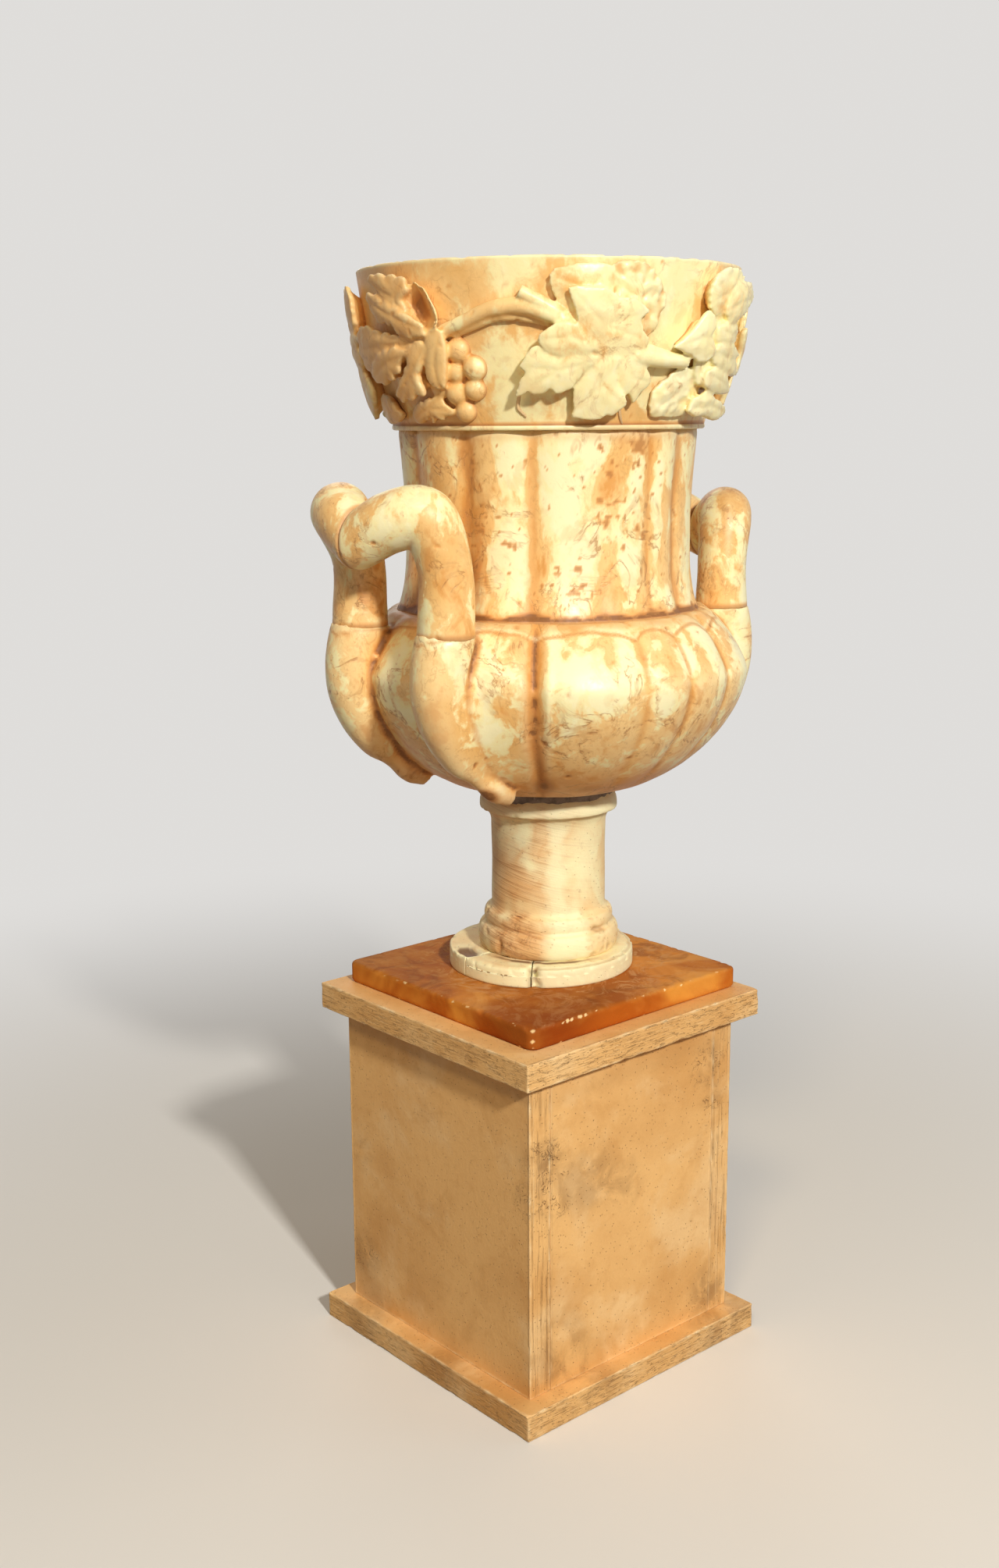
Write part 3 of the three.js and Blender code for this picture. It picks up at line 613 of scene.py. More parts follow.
# Stem: turned from one block, with two rolls at the foot and a lip on top, then gone over with a
# rasp. The outline is turned round the vase's axis by a tree of geometry nodes, and the rolls are
# chipped at the left.
STEM_FACETS = 220
STEM_FOOT = {"radius": 54.0, "height": 18.0, "round": 3.5}
STEM_ROLL = {"radius": 49.2, "height": 12.0, "round": 3.0, "fillet": 5.0}
STEM_SHAFT = 43.2
STEM_LIP = {"radius": 52.0, "height": 15.5, "flare": 11.5}
LIP_FACE = ((-0.5, 0.0), (0.0, 0.7), (0.0, 2.5), (-0.1, 4.5), (-0.3, 6.5), (-0.7, 8.5), (-1.5, 10.5), (-2.6, 12.4),
            (-4.0, 14.2), (-5.2, 15.2))
STEM_HEIGHT = 124.0
ROD_HOLE = 6.0
TURNING_RADIUS = 30.0


def arc(centre, radii, start, end, steps):
    """Points along part of an ellipse in the outline's plane."""
    turns = np.radians(np.linspace(start, end, steps + 1))
    return [(centre[0] + radii[0] * math.cos(t), centre[1] + radii[1] * math.sin(t)) for t in turns]


def stem_outline():
    foot, roll, lip = STEM_FOOT, STEM_ROLL, STEM_LIP
    roll_top = foot["height"] + roll["height"]
    flare_bottom = STEM_HEIGHT - lip["height"] - lip["flare"]
    lip_bottom = STEM_HEIGHT - lip["height"]
    points = [(ROD_HOLE, 0.0), (28.0, 0.0)]
    points += arc((foot["radius"] - foot["round"], foot["height"] / 2),
                  (foot["round"], foot["height"] / 2), -90, 90, 16)
    points += arc((roll["radius"] - roll["round"], foot["height"] + roll["height"] / 2),
                  (roll["round"], roll["height"] / 2), -42, 90, 12)
    points += arc((STEM_SHAFT + roll["fillet"], roll_top + roll["fillet"]),
                  (roll["fillet"], roll["fillet"]), 235, 180, 6)
    points += [(STEM_SHAFT, h) for h in np.linspace(roll_top + 8, flare_bottom, 16)[:-1]]
    points += arc((lip["radius"], flare_bottom), (STEM_SHAFT - lip["radius"], lip["flare"]), 0, 80, 12)
    points += [(lip["radius"] + out, lip_bottom + rise) for out, rise in LIP_FACE]
    points += [(43.5, STEM_HEIGHT), (40.0, STEM_HEIGHT), (28.0, STEM_HEIGHT), (ROD_HOLE, STEM_HEIGHT)]
    return points


def outline_curve(name, points):
    """A closed poly curve in metres, drawn as the turning tree wants it: upside down and reversed."""
    data = bpy.data.curves.new(name, "CURVE")
    data.dimensions = "3D"
    spline = data.splines.new("POLY")
    spline.points.add(len(points) - 1)
    for point, (radius, height) in zip(spline.points, reversed(points)):
        point.co = ((radius - TURNING_RADIUS) / 1000.0, -height / 1000.0, 0.0, 1.0)
    spline.use_cyclic_u = True
    made = bpy.data.objects.new(name, data)
    bpy.context.scene.collection.objects.link(made)
    return made


class Shaping(Nodes):
    """A tree of geometry nodes with named inputs, for pieces that follow a rule."""

    def __init__(self, name, inputs):
        self.group = bpy.data.node_groups.new(name, "GeometryNodeTree")
        face = self.group.interface
        face.new_socket("Geometry", in_out="INPUT", socket_type="NodeSocketGeometry")
        face.new_socket("Geometry", in_out="OUTPUT", socket_type="NodeSocketGeometry")
        for label, kind in inputs.items():
            face.new_socket(label, in_out="INPUT", socket_type=kind)
        super().__init__(self.group)
        self.start = self.tree.nodes.new("NodeGroupInput")

    def given(self, label):
        return Amount(self, self.start.outputs[label])

    def close(self, geometry, material):
        """Ends the tree: instances made real, and the material set."""
        real = self.node("GeometryNodeRealizeInstances", None, {"Geometry": geometry})
        dressed = self.node("GeometryNodeSetMaterial", None, {"Geometry": real})
        dressed.socket.node.inputs["Material"].default_value = material
        self.node("NodeGroupOutput", None, {"Geometry": dressed})

    def shape(self, carrier, name, values):
        """Runs the tree on a carrier object and gives the plain mesh as a new object."""
        modifier = carrier.modifiers.new("shaping", "NODES")
        modifier.node_group = self.group
        for item in self.group.interface.items_tree:
            if item.in_out == "INPUT" and item.name in values:
                modifier[item.identifier] = values[item.name]
        bpy.context.view_layer.update()
        ready = carrier.evaluated_get(bpy.context.evaluated_depsgraph_get())
        mesh = bpy.data.meshes.new_from_object(ready)
        carrier.modifiers.remove(modifier)
        made = bpy.data.objects.new(name, mesh)
        bpy.context.scene.collection.objects.link(made)
        bpy.data.objects.remove(carrier)
        return made


def turned_stone(material):
    """A tree that turns the carrier's outline round the Z axis."""
    tree = Shaping("turned_stone", {"Facets": "NodeSocketInt"})
    ring = tree.node("GeometryNodeCurvePrimitiveCircle", None,
                     {"Resolution": tree.given("Facets"), "Radius": TURNING_RADIUS / 1000.0}, output="Curve")
    body = tree.node("GeometryNodeCurveToMesh", None,
                     {"Curve": ring, "Profile Curve": tree.given("Geometry")})
    smooth = tree.node("GeometryNodeSetShadeSmooth", None, {"Geometry": body})
    tree.close(smooth, material)
    return tree


def turn_gap(angles, turn):
    """Degrees from each angle to the turn or its opposite, whichever is nearer."""
    return np.mod(angles - turn + 90.0, 180.0) - 90.0


stem_marble = pale_marble("stem_marble", 4.0, rasp=0.8)
stem = turned_stone(stem_marble).shape(outline_curve("stem_outline", stem_outline()), "stem_marble",
                                       {"Facets": STEM_FACETS})
stem_bottom = node_box("stem")[0][2]
shape = mesh_points(stem)
radial = np.hypot(shape[:, 0], shape[:, 1])
heading = shape[:, :2] / radial[:, None]
on_rolls = (shape[:, 2] < 31) & (radial > 40)
chipped = np.clip(2.6 * unevenness(shape, 10.0, 61) - 0.7, 0, 1) * on_rolls
chipped += 0.7 * np.clip(2.6 * unevenness(shape, 4.0, 62) - 0.8, 0, 1) * on_rolls
stem_turns = np.degrees(np.arctan2(heading[:, 1], heading[:, 0]))
chipped *= 0.25 + 0.75 * np.clip(abs(turn_gap(stem_turns, -128.0)) / 25.0 - 0.6, 0, 1)
lip_edge = np.clip(1 - abs(shape[:, 2] - (STEM_HEIGHT - 15.5)) / 2.5, 0, 1) * (radial > 40)
lip_top = np.clip((shape[:, 2] - (STEM_HEIGHT - 10)) / 9, 0, 1) * np.clip((radial - 41.5) / 3, 0, 1)
nicked = np.clip(2.4 * unevenness(shape, 5.0, 63) - 0.5, 0, 1) * (lip_edge + lip_top)
uneven = 0.5 * unevenness(shape, 26.0, 64) * (radial > 30)
radial_new = radial - 2.4 * chipped - 1.8 * nicked + uneven
shape[:, :2] = heading * radial_new[:, None] + VASE_AXIS
round_lip = np.column_stack([50 * heading, 0 * radial])
ragged_top = 0.45 + 0.8 * unevenness(round_lip, 15.0, 66) + 0.35 * unevenness(round_lip, 5.0, 67)
ragged_top = np.clip(ragged_top + 0.5 * near(turn_gap(stem_turns, -158.0), 0, 16.0), 0.1, 1.4) * lip_top
# Rasp marks on the left side, where the darker tan is partly painted shade on the side away from the light.
mark(stem, "rasped", near(turn_gap(stem_turns, -166.0), 0, 46.0))
dirty = near(turn_gap(stem_turns, -172.0), 0, 24.0) * near(shape[:, 2], 14.0, 16.0)
dirty *= np.clip(0.5 + 1.6 * unevenness(shape, 6.0, 68), 0, 1)
mark(stem, "soiled", 1.4 * dirty)
# Chips and dirt darken the stem, and painted shadow lines darken the gap under the lip's edge and the gap under the
# foot.
mark(stem, "worn", 0.7 * chipped + 0.2 * nicked + 0.5 * dirty + 0.6 * near(shape[:, 2], STEM_HEIGHT - 16.6, 0.9)
     + 1.1 * near(shape[:, 2], 0.0, 2.6) * (radial > 40) * near(turn_gap(stem_turns, -140.0), 0, 38.0))
# Painted highlights: the front that faces the light, a streak beside it and the lip's slanted face are marked paler,
# along with the real nicks and the chipped top.
blurred = 6.0 * unevenness(shape, 22.0, 69) + 4.0 * unevenness(shape, 7.0, 70)
painted_highlight = np.clip(2.0 - abs(turn_gap(stem_turns, -116.0) + blurred) / 13.0, 0, 1) * np.clip(2.2 - shape[:, 2] / 22.0, 0, 1)
streak = np.clip(1.6 - abs(turn_gap(stem_turns, -125.0) + blurred) / 8.0, 0, 1) * (shape[:, 2] > 25)
lip_face_highlight = 0.6 * np.clip((shape[:, 2] - (STEM_HEIGHT - 15.0)) / 2.0, 0, 1) * (radial > 44)
painted_highlight = np.maximum(painted_highlight, 0.8 * streak) * (1 - np.clip(chipped, 0, 1))
painted_highlight = np.maximum(painted_highlight, lip_face_highlight)
mark(stem, "rubbed", np.maximum(painted_highlight, 0.8 * nicked + 0.4 * lip_edge + 0.7 * near(ragged_top, 0.35, 0.3) * lip_top))
shape[:, 2] += stem_bottom - 4.5 * ragged_top
move_points(stem, shape)
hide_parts("stem")
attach(stem, "vase")

# Mortar bed: grey mortar squeezed out between the stem's lip and the bowl, left rough.
MORTAR_RADIUS = 49.5
MORTAR_SQUEEZE = 1.6


def mortar_mix():
    finish = Finish("grey_mortar")
    grit = finish.cloud(260.0, 6.0, 0.7)
    lumps = finish.cloud(70.0, 4.0, 0.6)
    colour = finish.tinted(lumps.between(0.4, 0.62), tone(112, 102, 94), tone(158, 144, 130))
    colour = finish.tinted(grit.between(0.58, 0.72) * 0.7, colour, tone(214, 200, 180))
    return finish.surface(colour, 0.85 + 0.1 * grit, grit + lumps, 0.0012)


mortar_low, mortar_high = node_box("mortar_bed")
turns = np.radians(np.arange(0, 360, 2.0))
mortar_rings = []
for reach, rise in ((ROD_HOLE, 0.0), (40.0, 0.0), (43.0, -10.5), (MORTAR_RADIUS - 1.0, -10.5), (MORTAR_RADIUS, -3.0),
                    (MORTAR_RADIUS, 0.0), (MORTAR_RADIUS - 0.6, 2.0), (MORTAR_RADIUS - 2.0, 3.0), (ROD_HOLE, 3.0)):
    z = mortar_low[2] + rise
    ring = np.column_stack([reach * np.cos(turns), reach * np.sin(turns), z + 0 * turns])
    if reach > ROD_HOLE:
        ring[:, :2] *= (1 + MORTAR_SQUEEZE * (unevenness(ring, 7.0, 71) - 0.4) / reach)[:, None]
    ring[:, :2] += VASE_AXIS
    mortar_rings.append(ring)
mortar = piece_from("mortar", *skin(mortar_rings, looped=True))
mortar.data.materials.append(mortar_mix())
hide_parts("mortar_bed")
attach(mortar, "vase")

# Bowl: one block of cream and tan marble, cut into swelling lobes that meet in grooves, with the
# lower stretch of all four handle arms left standing on it. Lobes and arms are made apart and
# grown together, and then dressed with the hollows and chips of hand work.
BOWL_HEIGHT = 133.0
BOWL_FOOT = 56.0
BELLY_RADIUS = 148.5
BELLY_HEIGHT = 90.0
BOWL_TOP = 114.0
UNDERSIDE_FULLNESS = 1.65
SHOULDER_FULLNESS = 1.35
HOLLOW_RADIUS = 128.5
HOLLOW_FOOT = 51.0
HOLLOW_SHOULDER = 32.0
BOWL_FLOOR = 28.0
NECK_BORE = 88.0
LOBE_ROUNDNESS = 2.6
BOWL_GROOVES = {-164.0: 4.0, -136.5: 8.5, -104.5: 4.0, -90.0: 2.5, -71.0: 4.0, -45.0: 8.5, -16.0: 4.0}
BOWL_SCORES = {-164.0: 0.8, -137.0: 4.2, -104.5: 0.5, -90.0: 1.4, -71.0: 1.6, -45.0: 4.0, -16.0: 0.8}
SCORE_WIDTH = 3.2
RIB = {"angle": -133.0, "height": 2.2, "width": 2.6}
STAINED_FEET = {-134.6: (16.0, 12.0, 7.0, 1.0), -116.0: (12.0, 7.0, 14.0, 0.6), -45.0: (16.0, 12.0, 7.0, 0.9),
                -89.5: (28.0, 7.0, 3.0, 0.7), -154.0: (12.0, 6.0, 4.0, 1.4)}
BOWL_TINTS = ((-148.5, 105, 6.5, 24, 0.6), (-150.0, 62, 5.0, 22, 0.5), (-157.0, 122, 5.0, 20, 0.5),
              (-131.0, 113, 1.7, 15, 0.6), (-126.0, 102, 4.0, 12, 0.4), (-120.5, 111, 4.0, 6, 0.4),
              (-127.5, 67, 2.6, 12, 0.4), (-121.0, 85, 9.0, 8, 0.3), (-110.5, 100, 3.0, 20, 0.55),
              (-100.0, 84, 3.0, 22, 0.5), (-89.0, 104, 3.0, 17, 0.6), (-75.0, 114, 4.0, 13, 0.4),
              (-60.0, 95, 6.0, 22, 0.5), (-30.0, 100, 6.0, 22, 0.5), (-5.0, 90, 6.0, 26, 0.5),
              (-137.0, 70, 2.6, 60, -0.5), (-115.0, 55, 9.0, 16, -0.2), (-96.0, 110, 2.2, 16, -0.4))
VOXEL = 2.2
HANDLE_VOXEL = 1.3
ARM_SPACING = 48.0
ARM_RADIUS = 20.0
ARM_STANDOFF = 1.2
ARM_SEAM = 126.0
ARM_BELLY_PROUD = 5.0
ARM_TIP_HEIGHT = 13.0
ARM_TIP_RADIUS = 6.0
ARM_KNOB = 2.0
ARM_TIP_HANG = 6.0
LEDGE_DROP = 1.2
MELTED_CREASE = {"turn": -147.5, "width": 8.5, "top": 108.0, "foot": 17.0}


def fullness(height, exponent):
    """Height of a superellipse: 1 in the middle, 0 at its end."""
    return np.maximum(0, 1 - np.abs(height) ** exponent) ** (1 / exponent)


def bowl_radius(height):
    under = BOWL_FOOT + (BELLY_RADIUS - BOWL_FOOT) * fullness(
        (BELLY_HEIGHT - height) / BELLY_HEIGHT, UNDERSIDE_FULLNESS)
    over = BOWL_TOP + (BELLY_RADIUS - BOWL_TOP) * fullness(
        (height - BELLY_HEIGHT) / (BOWL_HEIGHT - BELLY_HEIGHT), SHOULDER_FULLNESS)
    return np.where(height <= BELLY_HEIGHT, under, over)


def both_ways(turns):
    """The same entries for the front half and, turned by half a circle, for the rear half."""
    return sorted((turn % 360 + half, value) for turn, value in turns.items() for half in (0, -180))


def groove_inset(angles, grooves):
    """How far a lobed wall is cut in: fully at each groove's angle, hardly between two of them."""
    edges = both_ways(grooves)
    edges = [(edges[-1][0] - 360, edges[-1][1])] + edges + [(edges[0][0] + 360, edges[0][1])]
    turn = np.mod(angles, 360.0)
    inset = 0 * turn
    for (before, first), (after, second) in zip(edges[:-1], edges[1:]):
        t = (turn - (before + after) / 2) / ((after - before) / 2)
        depth = np.where(t < 0, first, second) * np.minimum(1, np.abs(t)) ** LOBE_ROUNDNESS
        inset = np.where((turn >= before) & (turn < after), depth, inset)
    return inset


def eased_round(values, reach):
    """The values round a closed ring, each averaged with its neighbours up to the reach."""
    weights = near(np.arange(-3 * reach, 3 * reach + 1), 0, reach)
    wrapped = np.concatenate([values[-3 * reach:], values, values[:3 * reach]])
    return np.convolve(wrapped, weights / weights.sum(), "valid")


def score_lines(angles, radius, scores):
    """Depth of the narrow lines that the chisel left along the bottom of the grooves."""
    return sum(depth * near(np.radians(turn_gap(angles, turn)) * radius, 0, SCORE_WIDTH)
               for turn, depth in scores.items())


def ring_points(angles, radius, z):
    turn = np.radians(angles)
    return np.column_stack([radius * np.cos(turn), radius * np.sin(turn), z + 0 * turn])


def bowl_body():
    bottom = node_box("bowl")[0][2]
    angles = np.arange(0, 360, 0.6)
    rib = RIB["height"] * near(np.radians(turn_gap(angles, RIB["angle"])) * BELLY_RADIUS, 0, RIB["width"])
    cut = eased_round(groove_inset(angles, BOWL_GROOVES), 2) + score_lines(angles, BELLY_RADIUS, BOWL_SCORES) - rib
    ledge = np.clip(unevenness(ring_points(angles, 110.0, 0.0), 12.0, 83), -1, 1)
    rings = [ring_points(angles, ROD_HOLE, bottom)]
    heights = np.concatenate([BELLY_HEIGHT * (1 - np.cos(np.radians(np.linspace(0, 90, 40)))),
                              BELLY_HEIGHT + (BOWL_HEIGHT - BELLY_HEIGHT)
                              * np.sin(np.radians(np.linspace(0, 90, 24)[1:]))])
    for height in heights:
        radius = float(bowl_radius(height))
        share = (radius - BOWL_FOOT) / (BELLY_RADIUS - BOWL_FOOT)
        top = max(0.0, (height - (BOWL_HEIGHT - 9)) / 9)
        out = radius - cut * share + top * (2.0 + 2.4 * ledge)
        rings.append(ring_points(angles, out, bottom + height - top * LEDGE_DROP * (0.5 - 0.5 * ledge)))
    rings.append(ring_points(angles, NECK_BORE, bottom + BOWL_HEIGHT))
    middle = bottom + BELLY_HEIGHT
    hollow = arc((NECK_BORE, middle), (HOLLOW_RADIUS - NECK_BORE, HOLLOW_SHOULDER), 90, 0, 8)
    hollow += arc((HOLLOW_FOOT, middle), (HOLLOW_RADIUS - HOLLOW_FOOT, BELLY_HEIGHT - BOWL_FLOOR),
                  0, -90, 12)[1:]
    hollow.append((ROD_HOLE, bottom + BOWL_FLOOR))
    rings += [ring_points(angles, radius, z) for radius, z in hollow]
    return skin(rings, looped=True)


def arm_reach_at(radius):
    return math.sqrt(max(0.0, radius ** 2 - ARM_SPACING ** 2))


ARM_REACH = arm_reach_at(max(float(bowl_radius(ARM_SEAM)), BOWL_TOP - 2) + ARM_STANDOFF + ARM_RADIUS)
ARM_BELLY_REACH = arm_reach_at(BELLY_RADIUS) + ARM_BELLY_PROUD
ARM_TIP_REACH = arm_reach_at(float(bowl_radius(ARM_TIP_HEIGHT)))


def bar(centres, radii, start, facets=36):
    """Points and faces of a round bar along a path, from its start direction on."""
    rings = []
    outward = np.array([1.0, 0.0, 0.0])
    for i, centre in enumerate(centres):
        along = centres[min(i + 1, len(centres) - 1)] - centres[max(i - 1, 0)]
        along = np.array(start, float) if i == 0 else along / np.linalg.norm(along)
        across = outward - along * (outward @ along)
        across /= np.linalg.norm(across)
        third = np.cross(along, across)
        turns = np.linspace(0, 2 * math.pi, facets, endpoint=False)
        rings.append(centre + radii[i] * (np.outer(np.cos(turns), across)
                                          + np.outer(np.sin(turns), third)))
    return skin(rings)


def lower_arm(side, front):
    bottom = node_box("bowl")[0][2]
    centres, radii = [], []
    for t in np.linspace(0, 1, 40):
        height = ARM_SEAM + (ARM_TIP_HEIGHT - ARM_SEAM) * t
        if height > BELLY_HEIGHT:
            rise = (height - BELLY_HEIGHT) / (ARM_SEAM - BELLY_HEIGHT)
            reach = ARM_BELLY_REACH + (ARM_REACH - ARM_BELLY_REACH) * rise ** 2
        else:
            drop = (BELLY_HEIGHT - height) / (BELLY_HEIGHT - ARM_TIP_HEIGHT)
            reach = ARM_TIP_REACH + (ARM_BELLY_REACH - ARM_TIP_REACH) * fullness(drop, UNDERSIDE_FULLNESS)
        hang = ARM_TIP_HANG * max(0.0, (t - 0.88) / 0.12) ** 2 if side < 0 else 0.0
        centres.append(np.array([side * reach, front * ARM_SPACING, bottom + height - hang]))
        knob = ARM_KNOB * (near(t, 0.965, 0.03) - 1.3 * near(t, 0.86, 0.06)) * (side < 0)
        radii.append(ARM_RADIUS + (ARM_TIP_RADIUS - ARM_RADIUS) * t ** 3 + knob)
    return bar(centres, radii, (0, 0, -1))


def merged(parts):
    """Several closed skins as one list of points and faces."""
    points, faces, count = [], [], 0
    for part_points, part_faces in parts:
        points.append(part_points)
        faces += [tuple(count + corner for corner in face) for face in part_faces]
        count += len(part_points)
    return np.concatenate(points), faces


def applied(piece):
    """Gives the piece the mesh that its modifiers make, and removes them."""
    bpy.context.view_layer.update()
    ready = piece.evaluated_get(bpy.context.evaluated_depsgraph_get())
    mesh = bpy.data.meshes.new_from_object(ready)
    piece.modifiers.clear()
    piece.data = mesh
    return piece


def grown_together(piece, voxel, ease=2):
    """Fuses overlapping skins into one, on a grid of the given size."""
    remesh = piece.modifiers.new("grow", "REMESH")
    remesh.mode = "VOXEL"
    remesh.voxel_size = voxel / 1000.0
    soften = piece.modifiers.new("soften", "SMOOTH")
    soften.iterations = ease
    soften.factor = 0.5
    applied(piece)
    piece.data.polygons.foreach_set("use_smooth", [True] * len(piece.data.polygons))
    return piece


def mesh_normals(piece):
    values = np.empty(3 * len(piece.data.vertices))
    piece.data.vertices.foreach_get("normal", values)
    return values.reshape(-1, 3)


def hand_worked(piece, wave, chip, seed):
    """Moves the points by the low waves and the small chips of hand-cut stone; gives the chips."""
    points = mesh_points(piece)
    waves = wave * (unevenness(points, 34.0, seed) + 0.4 * unevenness(points, 12.0, seed + 1))
    chips = np.clip(3.0 * unevenness(points, 7.0, seed + 2) - 1.7, 0, 1)
    move_points(piece, points + mesh_normals(piece) * (waves - chip * chips)[:, None])
    return chips


def averaged(piece, rounds):
    """The points after so many rounds of moving each one towards its neighbours."""
    ends = np.empty(2 * len(piece.data.edges), dtype=np.int32)
    piece.data.edges.foreach_get("vertices", ends)
    ends = ends.reshape(-1, 2)
    first, second = np.concatenate([ends[:, 0], ends[:, 1]]), np.concatenate([ends[:, 1], ends[:, 0]])
    points = mesh_points(piece)
    count = np.maximum(1, np.bincount(first, minlength=len(points)))
    eased = points
    for _ in range(rounds):
        total = [np.bincount(first, eased[second, k], len(points)) for k in range(3)]
        eased = 0.4 * eased + 0.6 * np.column_stack(total) / count[:, None]
    return eased


def hollows(piece, rounds, depth):
    """Above 0 where the surface is hollow, below 0 where it is an edge, up to 1 either way."""
    moved = averaged(piece, rounds) - mesh_points(piece)
    return np.clip((moved * mesh_normals(piece)).sum(axis=1) / depth, -1, 1)


def tint_places(turns, heights, tints, base):
    """base, raised or lowered in ragged places given as turn, height, half width and height, and strength."""
    value = base + 0 * heights
    for turn, middle, wide, tall, strength in tints:
        apart = (turn_gap(turns, turn) / wide) ** 2 + ((heights - middle) / tall) ** 2
        value = value + strength * np.exp(-apart ** 1.5)
    return value


def age(piece, rounds, depth, chips, stain_and_shadow=0.0, pale=0.5):
    """Marks what the marble shader reads: hollows darkened by stains and painted shade, chips, edges paled by painted
    highlight, and pale places.
    """
    mark(piece, "pale", np.zeros(len(piece.data.vertices)) + pale)
    bend = hollows(piece, rounds, depth)
    mark(piece, "worn", np.maximum(np.clip(bend, 0, 1), stain_and_shadow) + 0.5 * chips)
    mark(piece, "rubbed", np.clip(-bend, 0, 1) * (1 - np.clip(stain_and_shadow, 0, 1)))


def vase_marble(name, seed, share=0.5, softness=0.03, streak=0.65, veined=0.75):
    """Honey marble with cream clouds, hollows darkened by stains and painted shade, edges paled by painted highlight,
    short dark veins and brown spots.

    share is how much of it is cream, softness how gently the clouds fade, streak below 1 draws
    them out upwards, and veined is the strength of the veins and spots."""
    finish = Finish(name)
    tall = finish.stretched((1.0, 1.0, streak), (seed, seed, seed))
    broad = finish.cloud(22.0, 2.0, 0.5, 0.4, place=tall)
    cloud = finish.cloud(62.0, 4.0, 0.55, 0.5, place=tall)
    ragged = finish.cloud(200.0, 3.0, 0.6, 0.3, place=tall)
    pale = finish.attribute("pale")
    body = 0.44 * broad + 0.5 * cloud + 0.16 * (ragged - 0.5) + 0.25 * (pale - 0.5) + 0.03
    middle = 0.5 + 0.14 * (0.5 - share)
    cream = body.between(middle - softness, middle + softness)
    heart = body.between(middle + softness, middle + 3 * softness)
    drift = finish.cloud(12.0, 3.0, 0.55, 0.5, shift=seed + 1)
    base = finish.tinted(drift.between(0.38, 0.62), tone(249, 208, 140), tone(238, 188, 114))
    amber = body.between(middle - 5.0 * softness, middle - 2.0 * softness)
    base = finish.tinted(amber, tone(226, 162, 84), base)
    colour = finish.tinted(cream, base, CREAM)
    colour = finish.tinted(heart * 0.8, colour, CREAM_PALE)
    cool = finish.cloud(64.0, 4.0, 0.6, 0.5, shift=seed + 7).between(0.52, 0.68)
    colour = finish.tinted(cool * 0.35, colour, tone(226, 188, 124))
    # Stains darken the colour, and so does painted shade in hollows, under overhangs and on the carving's side away
    # from the light.
    worn = finish.attribute("worn")
    colour = finish.tinted(worn.between(0.0, 0.5) * 0.75, colour, tone(220, 156, 84))
    honey = finish.tinted(drift, tone(186, 120, 56), tone(150, 92, 42))
    colour = finish.tinted(worn.between(0.35, 0.9) * 0.8, colour, honey)
    colour = finish.tinted(worn.between(0.85, 1.0) * 0.6, colour, tone(96, 58, 28))
    # Chipped and rubbed places are paler, and so are the painted highlights on edges.
    rubbed = finish.attribute("rubbed")
    colour = finish.tinted(rubbed * 0.5, colour, CREAM_PALE)
    crease = finish.cloud(30.0, 5.0, 0.6, 0.8, shift=seed + 4)
    apart = (crease - 0.5).size()
    where = finish.cloud(17.0, 3.0, 0.5, shift=seed + 8).between(0.46, 0.6)
    broken = finish.cloud(130.0, 2.0, 0.5, shift=seed + 9).between(0.42, 0.56)
    halo = (1.0 - apart.between(0.008, 0.045)) * where
    veins = (1.0 - apart.between(0.003, 0.02)) * where * broken
    colour = finish.tinted(halo * veined * 0.5, colour, tone(206, 152, 90))
    shore = (1.0 - (body - middle + 1.4 * softness).size().between(0.002, 0.014)) * broken
    colour = finish.tinted(shore * veined * 0.34, colour, tone(186, 130, 76))
    colour = finish.tinted(veins * veined * 0.75, colour, tone(168, 112, 60))
    blots = finish.cloud(80.0, 3.0, 0.6, 1.6, place=finish.stretched((1.0, 1.0, 0.6), (seed + 5, seed, seed)))
    flecked = finish.cloud(26.0, 2.0, 0.5, shift=seed + 6).between(0.46, 0.6)
    spots = blots.between(0.6, 0.7) * flecked
    cores = blots.between(0.69, 0.77) * flecked
    colour = finish.tinted(spots * veined * 0.6, colour, tone(204, 142, 78))
    colour = finish.tinted(cores * veined * 0.8, colour, tone(134, 84, 40))
    grain = finish.cloud(360.0, 4.0, 0.6, shift=seed)
    height = grain * 0.2 + body * 0.4 - cores * veined * 0.5 - veins * veined * 0.2
    gloss = 0.34 + 0.16 * grain + 0.16 * worn - 0.05 * cream
    return finish.surface(colour, gloss, height, 0.0008, Subsurface_Weight=0.1, Subsurface_Scale=0.005,
                          Subsurface_Radius=SUBSURFACE_TINT)


bowl = piece_from("bowl_marble", *merged([bowl_body()] + [lower_arm(side, front)
                                          for side in (-1, 1) for front in (-1, 1)]))
grown_together(bowl, VOXEL)
bowl_low, bowl_high = node_box("bowl")
shape = mesh_points(bowl)
turns = np.degrees(np.arctan2(shape[:, 1], shape[:, 0]))
melted = np.exp(-(turn_gap(turns, MELTED_CREASE["turn"]) / MELTED_CREASE["width"]) ** 4)
melted *= np.clip((MELTED_CREASE["top"] - shape[:, 2] + bowl_low[2]) / 30.0, 0, 1) * (turns < 0)
melted *= np.clip((shape[:, 2] - bowl_low[2] - MELTED_CREASE["foot"]) / 14.0, 0, 1)
melted *= np.hypot(shape[:, 0], shape[:, 1]) > BOWL_FOOT
move_points(bowl, shape + (averaged(bowl, 160) - shape) * melted[:, None])
bowl_chips = hand_worked(bowl, 0.45, 1.2, 81)
shape = mesh_points(bowl)
turns = np.degrees(np.arctan2(shape[:, 1], shape[:, 0]))
